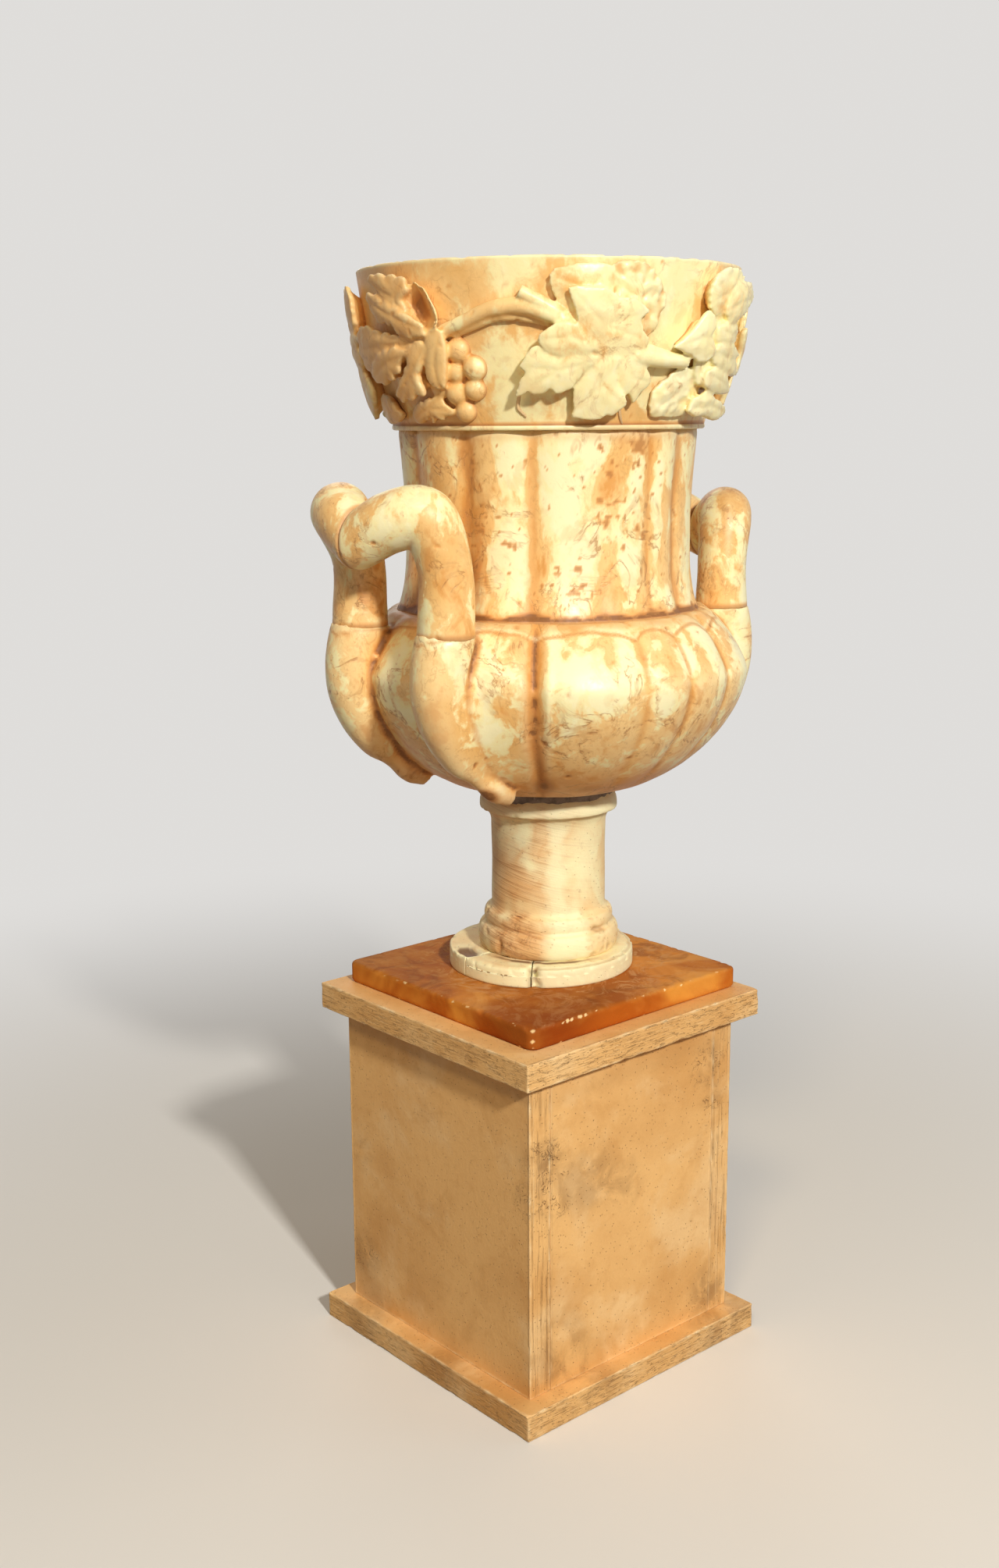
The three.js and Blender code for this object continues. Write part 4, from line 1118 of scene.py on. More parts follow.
# Darker at the seam under the neck and towards the bottom.
shoulder = near(shape[:, 2], bowl_high[2] - 1, 5.0)
underside = np.clip(1 - (shape[:, 2] - bowl_low[2]) / 42.0, 0, 1)
stain_and_shadow = np.maximum(0.4 * shoulder, 0.5 * underside)
for turn, (height, tall, wide, strength) in STAINED_FEET.items():
    width = wide * (0.35 + 0.9 * np.clip(1 - (shape[:, 2] - bowl_low[2]) / 40.0, 0, 1))
    spread = np.exp(-(turn_gap(turns, turn) / width) ** 2)
    stain_and_shadow = np.maximum(stain_and_shadow, strength * spread * near(shape[:, 2], bowl_low[2] + height, tall))
outer = np.hypot(shape[:, 0], shape[:, 1]) > 60
groove_turn = -137.2 + 1.6 * np.clip((bowl_low[2] + 60 - shape[:, 2]) / 40, 0, 1)
groove_gap = turn_gap(turns, 0) - turn_gap(groove_turn, 0)
deep = 0.5 + 0.5 * np.clip((bowl_low[2] + 100 - shape[:, 2]) / 50, 0, 1)
stain_and_shadow = np.maximum(stain_and_shadow, (0.45 * near(groove_gap, 0, 3.6) + 0.4 * near(groove_gap, 0, 1.5)) * deep * outer)
heights = shape[:, 2] - bowl_low[2]
lobes = eased_round(groove_inset(np.arange(0, 360, 0.5), dict.fromkeys(BOWL_GROOVES, 1.0)), 2)
arch_line = BOWL_HEIGHT - 3.5 - 7.0 * lobes[(turns * 2).astype(int) % 720] + 1.2 * unevenness(shape, 14.0, 84)
# The ragged ledge is marked with a paler chipped line, and a painted shadow line is darkened just below it.
festoon = near(heights, arch_line, 1.1) * outer * np.clip(0.6 + 1.2 * unevenness(shape, 10.0, 85), 0, 1)
stain_and_shadow = np.maximum(stain_and_shadow, 0.6 * near(heights, arch_line - 2.4, 1.3) * outer)
lower = np.clip((heights - 25) / 45, 0, 1)
age(bowl, 14, 1.1, bowl_chips, stain_and_shadow, tint_places(turns, heights, BOWL_TINTS, 0.12 + 0.26 * lower))
chipped_edge = bowl.data.attributes["rubbed"]
for i in np.flatnonzero(festoon > 0.05):
    chipped_edge.data[i].value = max(chipped_edge.data[i].value, festoon[i])
shape[:, :2] += VASE_AXIS
move_points(bowl, shape)
bowl.data.materials.append(vase_marble("bowl_marble", 2.0, 0.5, 0.034, 0.85))
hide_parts("bowl")
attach(bowl, "vase")

# Neck: a waisted drum with the bowl's lobes carried up as flat flutes. Its foot is set on the
# bowl's ledge with a ragged seam, and its top edge is gently scalloped under the band.
NECK_HEIGHT = 128.0
NECK_FOOT = 112.0
WAIST_RADIUS = 105.0
WAIST_HEIGHT = 54.0
NECK_TOP = 109.5
SEAM_RAG = 1.4
NECK_SINK = 1.2
TOP_SCALLOP = 1.2
NECK_GROOVES = {-165.0: 5.0, -139.0: 5.0, -113.0: 2.0, -91.5: 2.4, -74.5: 4.0, -45.0: 5.5, -15.0: 5.0}
NECK_SCORES = {-165.0: 0.3, -91.5: 0.5, -74.5: 0.5}
NECK_TINTS = ((-148.5, 37, 7.0, 26, 0.65), (-149.0, 95, 3.0, 22, 0.55), (-145.0, 111, 3.0, 10, 0.4),
              (-152.5, 75, 3.0, 10, 0.35), (-125.5, 75, 5.0, 36, 0.6), (-121.5, 39, 8.5, 22, 0.6),
              (-126.0, 11, 6.0, 10, 0.5), (-116.0, 115, 8.0, 11, 0.5), (-98.5, 88, 3.4, 17, 0.6),
              (-101.0, 40, 4.4, 15, 0.65), (-108.0, 56, 4.0, 6, 0.3), (-86.5, 82, 2.6, 38, 0.6),
              (-81.0, 13, 2.4, 9, 0.55), (-62.0, 60, 5.0, 40, 0.5), (-30.0, 70, 6.0, 40, 0.5),
              (-5.0, 50, 5.0, 40, 0.5), (-138.5, 90, 2.4, 50, -0.5), (-136.0, 43, 4.4, 14, -0.5),
              (-137.5, 19, 3.0, 13, -0.4), (-109.5, 82, 4.5, 26, -0.35), (-109.0, 26, 4.0, 19, -0.5),
              (-98.0, 10, 7.0, 9, -0.35), (-163.0, 80, 6.0, 60, -0.4), (-92.0, 70, 1.6, 60, -0.4))
NECK_BLOTS = ((-110.0, 99, 2.8), (-112.7, 81, 2.0), (-107.0, 80, 2.2), (-110.5, 66, 2.4), (-97.0, 63, 2.0),
              (-94.0, 56, 2.2), (-97.7, 117, 5.0), (-159.6, 61, 2.6), (-147.5, 52, 2.0), (-122.0, 36, 2.0),
              (-121.7, 19, 2.4), (-103.8, 49, 1.4), (-162.5, 108, 2.4), (-40.0, 60, 2.4), (-20.0, 40, 2.4))


def neck_radius(height):
    below = WAIST_RADIUS + (NECK_FOOT - WAIST_RADIUS) * np.maximum(0, 1 - height / WAIST_HEIGHT) ** 3
    rise = (height - WAIST_HEIGHT) / (NECK_HEIGHT - WAIST_HEIGHT)
    above = WAIST_RADIUS + (NECK_TOP - WAIST_RADIUS) * np.maximum(0, rise) ** 2
    return np.where(height < WAIST_HEIGHT, below, above)


def neck_body():
    bottom = node_box("neck")[0][2]
    angles = np.arange(0, 360, 0.7)
    inset = eased_round(groove_inset(angles, NECK_GROOVES), 4) + score_lines(angles, WAIST_RADIUS, NECK_SCORES)
    ledge = unevenness(ring_points(angles, 100.0, 0.0), 9.0, 91)
    ledge += 0.5 * unevenness(ring_points(angles, 100.0, 0.0), 3.5, 92)
    rings = [ring_points(angles, NECK_BORE, bottom)]
    for height in np.concatenate([[-NECK_SINK, 0.8, 1.8, 3.2], np.linspace(5, 122, 60),
                                  [123.5, 125, 126.2, 127.2, 128]]):
        near_foot = near(height, 0, 2.8)
        near_top = near(height, NECK_HEIGHT, 2.0)
        radius = float(neck_radius(height)) - inset * (1 - 0.6 * near_foot) + SEAM_RAG * ledge * near_foot
        radius = radius - near_top * TOP_SCALLOP * (0.6 + 0.7 * ledge + 0.25 * inset)
        rings.append(ring_points(angles, radius, bottom + height))
    rings.append(ring_points(angles, NECK_BORE, bottom + NECK_HEIGHT))
    return skin(rings, looped=True)


neck = piece_from("neck_marble", *neck_body())
neck_chips = hand_worked(neck, 0.3, 1.0, 95)
neck_low, neck_high = node_box("neck")
neck_z = mesh_points(neck)[:, 2]
neck_turns = np.degrees(np.arctan2(mesh_points(neck)[:, 1], mesh_points(neck)[:, 0]))
# Darker at the seam on the bowl, and painted shade under the band's overhang at the top; then stains in the grooves
# and brown blots.
neck_stain_and_shade = np.maximum(0.5 * near(neck_z, neck_low[2], 5.0), 0.4 * near(neck_z, neck_high[2], 7.0))
wander = 2.6 * unevenness(mesh_points(neck), 20.0, 96) + 0.8 * unevenness(mesh_points(neck), 5.0, 99)
width = 2.4 + 2.0 * unevenness(mesh_points(neck), 16.0, 97)
for turn, strength in ((-165.0, 0.6), (-138.5, 0.34), (-75.0, 0.55), (-45.0, 0.5), (-15.0, 0.5)):
    neck_stain_and_shade = np.maximum(neck_stain_and_shade, strength * np.exp(-((turn_gap(neck_turns, turn) - wander)
                                                            / np.maximum(0.8, width)) ** 2))
for turn, height, size in NECK_BLOTS:
    apart = np.hypot(np.radians(turn_gap(neck_turns, turn)) * WAIST_RADIUS, neck_z - neck_low[2] - height)
    frayed = 1 + 1.4 * unevenness(mesh_points(neck), 3.5, 98)
    neck_stain_and_shade = np.maximum(neck_stain_and_shade, 0.7 * np.clip(1.7 - apart * frayed / size, 0, 1))
age(neck, 30, 1.6, neck_chips, neck_stain_and_shade, tint_places(neck_turns, neck_z - neck_low[2], NECK_TINTS, 0.38))
shape = mesh_points(neck)
shape[:, :2] += VASE_AXIS
move_points(neck, shape)
neck.data.materials.append(vase_marble("neck_marble", 5.0, 0.5, 0.036, 0.55))
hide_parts("neck")
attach(neck, "vase")

# Vine band: the top of the vase, a flaring drum on which vine leaves stand free at their edges,
# with bunches of grapes on a branch. Each leaf is made of cupped blades that lie over each other,
# and all carving of one side is grown together. The other side repeats it, turned half round.
BAND_HEIGHT = 110.0
BAND_FOOT = 113.0
BAND_LIP = 3.4
BAND_LIP_STEP = 0.5
BAND_TOP = 137.0
BAND_SWELL = 3.0
BAND_WALL = 17.0
RIM_CHIP = 1.6
BERRY_RADIUS = 8.7
BERRY_LIFT = -1.2
CARVING_VOXEL = 1.1
BLADE_SHARES = (0.12, 0.28, 0.44, 0.58, 0.7, 0.8, 0.88, 0.94, 0.98, 1.0)
BLADE_THICKNESS = 4.2
ROOT_DEPTH = 4.0
STANDING_PROUD = 1.3
OUTLINE_PULL = 0.34
SCALLOP_PITCH = 11.5
BAND_BOTTOM = float(node_box("vine_band")[0][2])
# Tints of the pale mark: turn, height, half width, half height and strength. The broad dark one on the band's left
# side, and on the vine the ones over the grapes and the far leaf, are painted shade.
BAND_TINTS_AND_SHADE = ((-146.0, 34, 7.5, 36, 0.6), (-157.0, 97, 6.5, 14, -0.3), (-142.0, 100, 8.0, 15, 0.4),
              (-98.0, 95, 12.0, 30, 0.5), (-95.0, 30, 12.0, 30, 0.4), (-184.0, 60, 23.0, 90, -0.9),
              (-128.0, 50, 5.0, 7, -0.3), (-110.0, 92, 6.0, 12, -0.25), (-82.0, 60, 5.0, 20, -0.2))
VINE_TINTS_AND_SHADE = BAND_TINTS_AND_SHADE + ((-160.0, 33, 8.5, 32, -0.45), (-149.0, 80, 12.0, 17, -0.6),
                           (-215.0, 60, 14.0, 60, -0.6))


def band_radius(height):
    rise = (height - BAND_LIP) / (BAND_HEIGHT - BAND_LIP)
    foot = BAND_FOOT - BAND_LIP_STEP
    rise = np.maximum(rise, -0.02)
    return foot + (BAND_TOP - foot) * rise + BAND_SWELL * np.sin(math.pi * np.clip(rise, 0, 1))


def band_place(angle, height, lift):
    """A point over the band's surface, from its angle, its height on the band and its lift."""
    radius = band_radius(height) + lift
    turn = np.radians(angle)
    return np.stack([radius * np.cos(turn), radius * np.sin(turn), BAND_BOTTOM + height + 0 * turn],
                    axis=-1)


def band_drum():
    bottom = BAND_BOTTOM
    angles = np.arange(0, 360, 1.0)
    rag = unevenness(ring_points(angles, 120.0, 0.0), 8.0, 101)
    rings = [ring_points(angles, NECK_BORE, bottom), ring_points(angles, BAND_FOOT - 1.0, bottom)]
    rings.append(ring_points(angles, BAND_FOOT - 0.3 * rag, bottom + 1.0))
    rings.append(ring_points(angles, BAND_FOOT - 0.3 * rag, bottom + BAND_LIP - BAND_LIP_STEP))
    for height in np.concatenate([np.linspace(BAND_LIP, BAND_HEIGHT - 3, 36), [108.2, 109.2]]):
        rings.append(ring_points(angles, float(band_radius(height)), bottom + height))
    chips = np.clip(2.4 * unevenness(ring_points(angles, 120.0, 0.0), 6.0, 102) - 0.6, 0, 1)
    rings.append(ring_points(angles, BAND_TOP - 1.0 - RIM_CHIP * chips,
                             bottom + BAND_HEIGHT - 0.8 * RIM_CHIP * chips))
    rings.append(ring_points(angles, BAND_TOP - BAND_WALL + 1.5, bottom + BAND_HEIGHT))
    for height in np.linspace(BAND_HEIGHT - 1.5, 3.0, 24):
        share = height / BAND_HEIGHT
        rings.append(ring_points(angles, NECK_BORE + (BAND_TOP - BAND_WALL - NECK_BORE) * share,
                                 bottom + height))
    return skin(rings, looped=True)


def smooth_path(stations, steps, pull=0.5):
    """Points on a smooth line through the stations; a smaller pull gives tighter corners."""
    padded = np.vstack([2 * stations[0] - stations[1], stations, 2 * stations[-1] - stations[-2]])
    points = []
    for i in range(1, len(padded) - 2):
        p0, p1, p2, p3 = padded[i - 1:i + 3]
        for t in np.linspace(0, 1, steps, endpoint=False):
            arrive = t * t * (3 - 2 * t)
            points.append(p1 + (p2 - p1) * arrive + pull * (p2 - p0) * t * (1 - t) ** 2
                          - pull * (p3 - p1) * (1 - t) * t * t)
    points.append(padded[-2])
    return np.array(points)


def round_path(stations, steps, pull):
    """The same on a closed line."""
    stations = np.array(stations, float)
    wrapped = np.vstack([stations[-2:], stations, stations[:2]])
    return smooth_path(wrapped, steps, pull)[2 * steps:(len(stations) + 2) * steps]


def leaf_tips(reach):
    """Indices at which the outline is furthest out among its neighbours."""
    span = len(reach) // 16
    around = [np.roll(reach, step) for step in range(-span, span + 1)]
    return np.flatnonzero(reach >= np.max(around, axis=0))


def blade(a, heart, lift, outline, seed, tilt=(0.0, 0.0), crown=1.4, rough=0.0, saw=0.0, scallop=0.0):
    """One blade of a leaf, as a skin over the band.

    heart and the outline's corners are angles and heights on the band; a is added to all angles.
    The blade stands at its lift over the band, plus tilt per 30 mm to the right and upwards. Its
    middle bulges by crown, or is cupped if that is negative. rough breaks its surface up, saw cuts
    small teeth of that depth into its edge, and scallop cuts notches between round lobes."""
    lift = lift * STANDING_PROUD
    turn_length = math.radians(1.0) * (float(band_radius(heart[1])) + lift)
    line = round_path([((angle - heart[0]) * turn_length, height - heart[1]) for angle, height in outline],
                      6, OUTLINE_PULL)
    reach = np.hypot(line[:, 0], line[:, 1])
    flat = np.column_stack([line, 0 * reach])
    steps = np.hypot(*(line - np.roll(line, 1, axis=0)).T)
    teeth = 1 - np.mod(np.cumsum(steps) / 4.6, 1)
    notches = 1 - np.abs(np.sin(math.pi * np.cumsum(steps) / SCALLOP_PITCH))
    trim = 0.7 * unevenness(flat, 4.0, seed) + saw * (teeth - 0.5) - scallop * notches
    line = line * (1 + trim / np.maximum(reach, 8))[:, None]
    veins = [line[tip] / np.linalg.norm(line[tip]) for tip in leaf_tips(reach)]

    def top(share):
        u, v = (line * share).T
        rise = lift + (tilt[0] * u + tilt[1] * v) / 30 + crown * (1 - share ** 2.6)
        apart = np.full(len(u), 1e3)
        for vein in veins:
            ahead = u * vein[0] + v * vein[1]
            apart = np.minimum(apart, np.where(ahead > 0, np.abs(u * vein[1] - v * vein[0]), 1e3))
        rise = rise - (0.6 * near(apart, 0, 0.9) - 0.3 * near(apart, 4.5, 3.0)) * (1 - share ** 4)
        relief = np.column_stack([u, v, 0 * u])
        rise = rise + 0.45 * unevenness(relief, 9.0, seed + 1)
        if rough:
            rise = rise + rough * unevenness(relief, 5.5, seed + 2) + 0.5 * rough * unevenness(relief, 2.6, seed)
        return u, v, rise

    def placed(u, v, rise):
        height = np.clip(heart[1] + v, 1.5, BAND_HEIGHT - 0.5)
        return band_place(a + heart[0] + u / turn_length, height, rise)

    tops = [placed(*top(share)) for share in BLADE_SHARES]
    u, v, rim = top(1.0)
    unders = []
    for share, drop in ((0.35, 0.0), (0.55, 0.0), (0.68, 2 * BLADE_THICKNESS), (0.84, BLADE_THICKNESS),
                        (0.96, BLADE_THICKNESS - 0.4), (1.0, 1.6)):
        under = rim - drop if drop else np.minimum(rim - 2 * BLADE_THICKNESS, -ROOT_DEPTH)
        unders.append(placed(u * share, v * share, under))
    return skin(unders + tops[::-1])


def branch(stations, radii, seed):
    """A round stem along stations of (angle, height, lift) on the band."""
    stations = np.array(stations, float)
    fine = smooth_path(np.column_stack([stations, radii]), 8)
    centres = band_place(fine[:, 0], fine[:, 1], fine[:, 2])
    girth = fine[:, 3] * (1 + 0.08 * unevenness(centres, 9.0, seed))
    rings = []
    for i, centre in enumerate(centres):
        along = centres[min(i + 1, len(centres) - 1)] - centres[max(i - 1, 0)]
        along /= np.linalg.norm(along)
        outward = centre * (1, 1, 0)
        outward -= along * (outward @ along)
        outward /= np.linalg.norm(outward)
        side = np.cross(along, outward)
        turns = np.linspace(0, 2 * math.pi, 18, endpoint=False)
        rings.append(centre + girth[i] * (np.outer(np.cos(turns), outward)
                                          + np.outer(np.sin(turns), side)))
    return skin(rings)


def berry_tree(material):
    """A tree that sets a slightly uneven berry on every point of the carrier."""
    tree = Shaping("berries", {"Radius": "NodeSocketFloat", "Seed": "NodeSocketInt"})
    berry = tree.node("GeometryNodeMeshIcoSphere", None,
                      {"Radius": tree.given("Radius"), "Subdivisions": 4})
    size = tree.node("FunctionNodeRandomValue", {"data_type": "FLOAT"},
                     {2: 0.92, 3: 1.06, "Seed": tree.given("Seed")}, output=1)
    placed = tree.node("GeometryNodeInstanceOnPoints", None,
                       {"Points": tree.given("Geometry"), "Instance": berry, "Scale": size})
    tree.close(placed, material)
    return tree


BERRIES = ((-160.4, 52.5), (-162.2, 39.0), (-162.8, 25.4), (-160.8, 13.5), (-155.6, 41.0),
           (-156.4, 27.4), (-168.0, 44.0), (-168.6, 30.0))


def left_leaf(a):
    return [
        blade(a, (-174, 15), 4.5, ((-183.5, 6.5), (-182, 15), (-179, 19), (-176, 21), (-172, 22.5),
                                   (-168.3, 25), (-166.8, 24), (-167.2, 18), (-165, 15.5), (-163.6, 13.5),
                                   (-164.4, 10.8), (-167, 8.5), (-169.3, 6.8), (-171, 7.5), (-173, 5),
                                   (-174.4, 5), (-173.6, 11), (-176, 7), (-179, 5), (-181.5, 4.3)), 201,
              scallop=2.4),
        blade(a, (-170.5, 77), 6.5, ((-175, 83), (-173.6, 91), (-171.4, 96), (-169.4, 94), (-167, 91),
                                     (-165.4, 85), (-163.8, 79), (-163, 72), (-164, 66), (-168, 64),
                                     (-172, 70)), 202, tilt=(9, 0), crown=-8.0),
        blade(a, (-177.5, 86), 8.5, ((-188.5, 99), (-187, 102), (-184, 103.5), (-180.5, 102),
                                     (-176, 101.5), (-172.6, 97.5), (-172, 92), (-174.3, 83),
                                     (-173, 72), (-176, 68), (-181, 75), (-184.5, 88), (-186.5, 95)), 203,
              tilt=(-1, 1.5), scallop=2.8),
        blade(a, (-180, 76), 10.0, ((-190.4, 88.5), (-189, 91.4), (-186, 90.5), (-183.5, 88), (-179, 84),
                                    (-175, 78), (-169, 70), (-167, 63), (-172, 59), (-177.7, 63),
                                    (-178.6, 67.5), (-182, 69), (-185, 70.7), (-187, 74), (-188, 78),
                                    (-189, 83)), 204, scallop=2.8),
        blade(a, (-186, 56), 8.5, ((-177.8, 62.5), (-181, 64), (-185, 65.5), (-190, 67.5), (-193.5, 70.5),
                                   (-197, 70.5), (-200.5, 68), (-202, 61), (-203, 54), (-202, 46),
                                   (-199.5, 39.5), (-196.5, 37), (-192, 38), (-186, 41), (-180, 46),
                                   (-175, 47), (-169, 50), (-164, 56), (-166, 62), (-172, 64)), 205,
              tilt=(-1.5, 0), scallop=2.8),
        blade(a, (-184, 45), 10.5, ((-195.4, 34.5), (-193, 32), (-190, 30.4), (-186.5, 31.7),
                                    (-183, 34), (-180.3, 38.5), (-178.6, 43), (-177.6, 47.5),
                                    (-174, 51), (-180, 55), (-187, 53), (-192, 46), (-195, 40)), 206,
              tilt=(-0.5, 0), crown=1.2, scallop=2.8),
        blade(a, (-175, 38), 9.5, ((-176.6, 45), (-179, 39.5), (-181, 34), (-183, 29.5), (-184.8, 24.5),
                                   (-184.2, 20), (-182.7, 18), (-180.7, 19.7), (-179, 18.3),
                                   (-176.5, 20.8), (-174.5, 22), (-172, 23.6), (-171.2, 27.5),
                                   (-172.6, 31), (-172.2, 36), (-170.7, 43), (-169, 50), (-168, 57),
                                   (-173, 58), (-176, 52)), 207, tilt=(0, -1), scallop=2.8),
        blade(a, (-166.4, 43), 8.5, ((-169.8, 46), (-170.4, 38), (-169.8, 32), (-168, 28.6), (-166.3, 27),
                                     (-164.5, 28.6), (-163.7, 33), (-162.9, 40), (-162.2, 48),
                                     (-162.2, 57), (-163, 65), (-167, 64), (-169.2, 54)), 208),
    ]


def middle_leaf(a):
    return [
        blade(a, (-122, 88), 4.0, ((-132.3, 97.5), (-131, 101.6), (-128, 102.6), (-125, 104.6),
                                   (-120, 105), (-116.5, 103.5), (-115.8, 96), (-115.2, 88),
                                   (-115, 80), (-118, 74), (-123, 70), (-127.6, 70), (-129, 76),
                                   (-130.3, 81), (-131.5, 86), (-132.5, 92)), 221, crown=2.0, saw=0.8),
        blade(a, (-107, 84), 2.4, ((-115.5, 104), (-112, 107), (-107, 106.5), (-103.5, 102), (-101, 96),
                                   (-99, 90), (-98.3, 84), (-98.8, 76), (-100.3, 66), (-103, 60),
                                   (-108, 56), (-113, 60), (-115, 72), (-115.8, 88)), 222, crown=0.8,
              rough=2.3, saw=1.5),
        blade(a, (-118, 66), 8.5, ((-127.6, 88.5), (-125.6, 90.5), (-122, 89.6), (-118.5, 89.4),
                                   (-115.3, 86), (-113.8, 83), (-110, 83.5), (-106.3, 78.5),
                                   (-104.8, 75), (-107, 71), (-106.4, 64), (-104, 57), (-106, 50),
                                   (-112, 46), (-119, 49), (-122.6, 58), (-124.6, 66), (-125.6, 73),
                                   (-126.8, 81)), 223, tilt=(-1.5, 0), crown=1.2, saw=1.0),
        blade(a, (-127.5, 59), 9.5, ((-135.4, 56), (-135.2, 60.5), (-133, 64.3), (-131, 67.2),
                                     (-128, 68.6), (-125.3, 67), (-124.3, 63.3), (-121.5, 58),
                                     (-118, 53), (-121, 49), (-126, 47.5), (-130.5, 48), (-134, 51)), 224,
              tilt=(-1, 0)),
        blade(a, (-130, 38), 8.5, ((-136.6, 54), (-138.8, 49), (-139.6, 45.5), (-140.8, 41),
                                   (-139.5, 36.6), (-141, 31), (-141.8, 26), (-142.3, 21.4),
                                   (-140, 23), (-138.3, 25.6), (-137, 23), (-134, 23.8), (-132.2, 27),
                                   (-131, 23.6), (-128, 24.6), (-126, 27.3), (-124.6, 31.5),
                                   (-123, 36), (-121.3, 40), (-116, 45), (-118, 51), (-125, 52),
                                   (-131, 49.5), (-134, 53)), 225, tilt=(-1, -1), crown=2.0),
        blade(a, (-117.5, 29), 8.0, ((-122.3, 38), (-123.8, 33), (-125.2, 27.5), (-125.5, 20),
                                     (-125, 14), (-125.6, 9), (-122.5, 7.2), (-119, 6.6),
                                     (-116.8, 7.4), (-115, 9.8), (-113.2, 9.2), (-111.5, 11.6),
                                     (-110, 14.5), (-109.2, 18), (-110.5, 22.5), (-112.3, 27),
                                     (-113.2, 33), (-113.5, 38.5), (-113, 46), (-118, 48), (-121, 43)),
              226, tilt=(3, 0)),
        blade(a, (-108.5, 33), 7.5, ((-113.3, 38), (-112.6, 31.5), (-111, 26), (-109.6, 21), (-108.6, 24),
                                     (-107.3, 20.3), (-106.5, 17), (-105.2, 20), (-104.3, 24.5),
                                     (-102.8, 27), (-101.5, 30.5), (-102.3, 36), (-104.2, 41),
                                     (-106, 47), (-111, 50), (-114, 45)), 227),
    ]


def right_leaf(a):
    return [
        blade(a, (-87, 26), 3.0, ((-98.5, 25), (-98.5, 15), (-97, 9), (-92, 8), (-86, 8), (-82, 9),
                                  (-79, 14), (-76, 22), (-77, 33), (-82, 40), (-88, 41), (-92, 36),
                                  (-95.5, 31)), 241, crown=2.0, rough=1.6, saw=1.2),
        blade(a, (-78, 54), 7.0, ((-85, 45), (-85.5, 60), (-82, 72), (-77, 80), (-71, 74), (-69, 60),
                                  (-70, 42), (-74, 28), (-82, 30)), 242, crown=1.2, rough=0.8),
        blade(a, (-77, 89), 9.0, ((-84.6, 84), (-84.6, 92), (-83, 100), (-80.5, 102.7), (-78.2, 105),
                                  (-74, 105.6), (-71.2, 104.2), (-70.4, 101.5), (-68.4, 100.3),
                                  (-70, 97.5), (-72.5, 95), (-74, 86), (-77, 76), (-81, 74),
                                  (-83.5, 78)), 243, tilt=(1, 1), crown=1.2, saw=1.6, rough=0.7),
        blade(a, (-70.5, 84), 11.0, ((-76, 90), (-72, 96), (-68, 97.3), (-63.5, 96.8), (-61.8, 92.5),
                                     (-59.8, 87.5), (-61, 84), (-64, 80.3), (-65, 77.3), (-67.5, 74.7),
                                     (-71, 71), (-75, 70), (-78, 78)), 244, saw=1.6, rough=0.7),
        blade(a, (-72.5, 62), 10.0, ((-77, 70), (-70, 70.5), (-68.3, 66.6), (-66.5, 65.5), (-68, 62.3),
                                     (-67, 60), (-68.6, 56.3), (-73, 53), (-79, 57), (-80, 66)), 245,
              crown=2.0),
        blade(a, (-71, 46), 11.0, ((-74, 58), (-67, 54.5), (-64.5, 52), (-62.4, 49.5), (-64.5, 46.8),
                                   (-61.5, 42), (-58.4, 37.3), (-62, 35.5), (-68, 36), (-74, 38),
                                   (-79, 43), (-80, 53)), 246, saw=1.6, rough=0.7),
        blade(a, (-72, 31), 11.0, ((-76, 41), (-69, 36.5), (-65, 30.5), (-61.6, 25.8), (-64, 23.6),
                                   (-70, 23), (-76, 25), (-81, 29), (-81, 38)), 247),
        blade(a, (-74, 15), 10.0, ((-78, 25), (-73, 22), (-69, 19.6), (-65, 16.8), (-61.3, 13.5),
                                   (-59.8, 11), (-62, 8), (-65.5, 5.8), (-70, 6), (-75, 8.4),
                                   (-80, 8.4), (-84, 12), (-83, 20)), 248, tilt=(2, 0), saw=1.6, rough=0.7),
        blade(a, (-85.5, 60), 10.5, ((-95.8, 53), (-93.5, 57.6), (-91, 62.6), (-88.8, 68), (-87, 74),
                                     (-85.1, 77), (-83.2, 74.5), (-81.8, 70), (-82, 65), (-83, 61),
                                     (-81, 56), (-80, 50), (-82.3, 44.6), (-86, 44.3), (-89, 47.3),
                                     (-92, 50.2)), 249, tilt=(3, 0), crown=1.2, rough=0.6),
    ]


def far_leaf(a):
    """The leaf between the left one and the next side's right one, seen only as an outline."""
    return [
        blade(a, (-214, 78), 8.0, ((-219, 90), (-216, 98), (-212, 96), (-209, 99), (-206, 91),
                                   (-206, 80), (-208, 66), (-214, 58), (-221, 66), (-222, 80)), 261,
              saw=1.5),
        blade(a, (-209, 54), 9.5, ((-214, 66), (-206, 66), (-201, 63), (-204, 57), (-203, 48),
                                   (-206, 42), (-212, 44), (-217, 50), (-218, 60)), 262, saw=1.5),
        blade(a, (-222, 52), 9.0, ((-232, 66), (-226, 70), (-218, 64), (-212, 56), (-216, 46),
                                   (-223, 38), (-231, 38), (-229, 50)), 263, saw=1.5),
        blade(a, (-212, 28), 9.0, ((-218, 44), (-211, 47), (-206, 40), (-203, 30), (-205, 20),
                                   (-210, 13), (-214, 8), (-218, 16), (-220, 30)), 264, saw=1.5),
        blade(a, (-197, 14), 5.0, ((-203, 22), (-199, 25), (-195, 23), (-192, 15), (-189, 10.5),
                                   (-193, 6), (-200, 4.5), (-205, 10)), 265, saw=1.0),
    ]


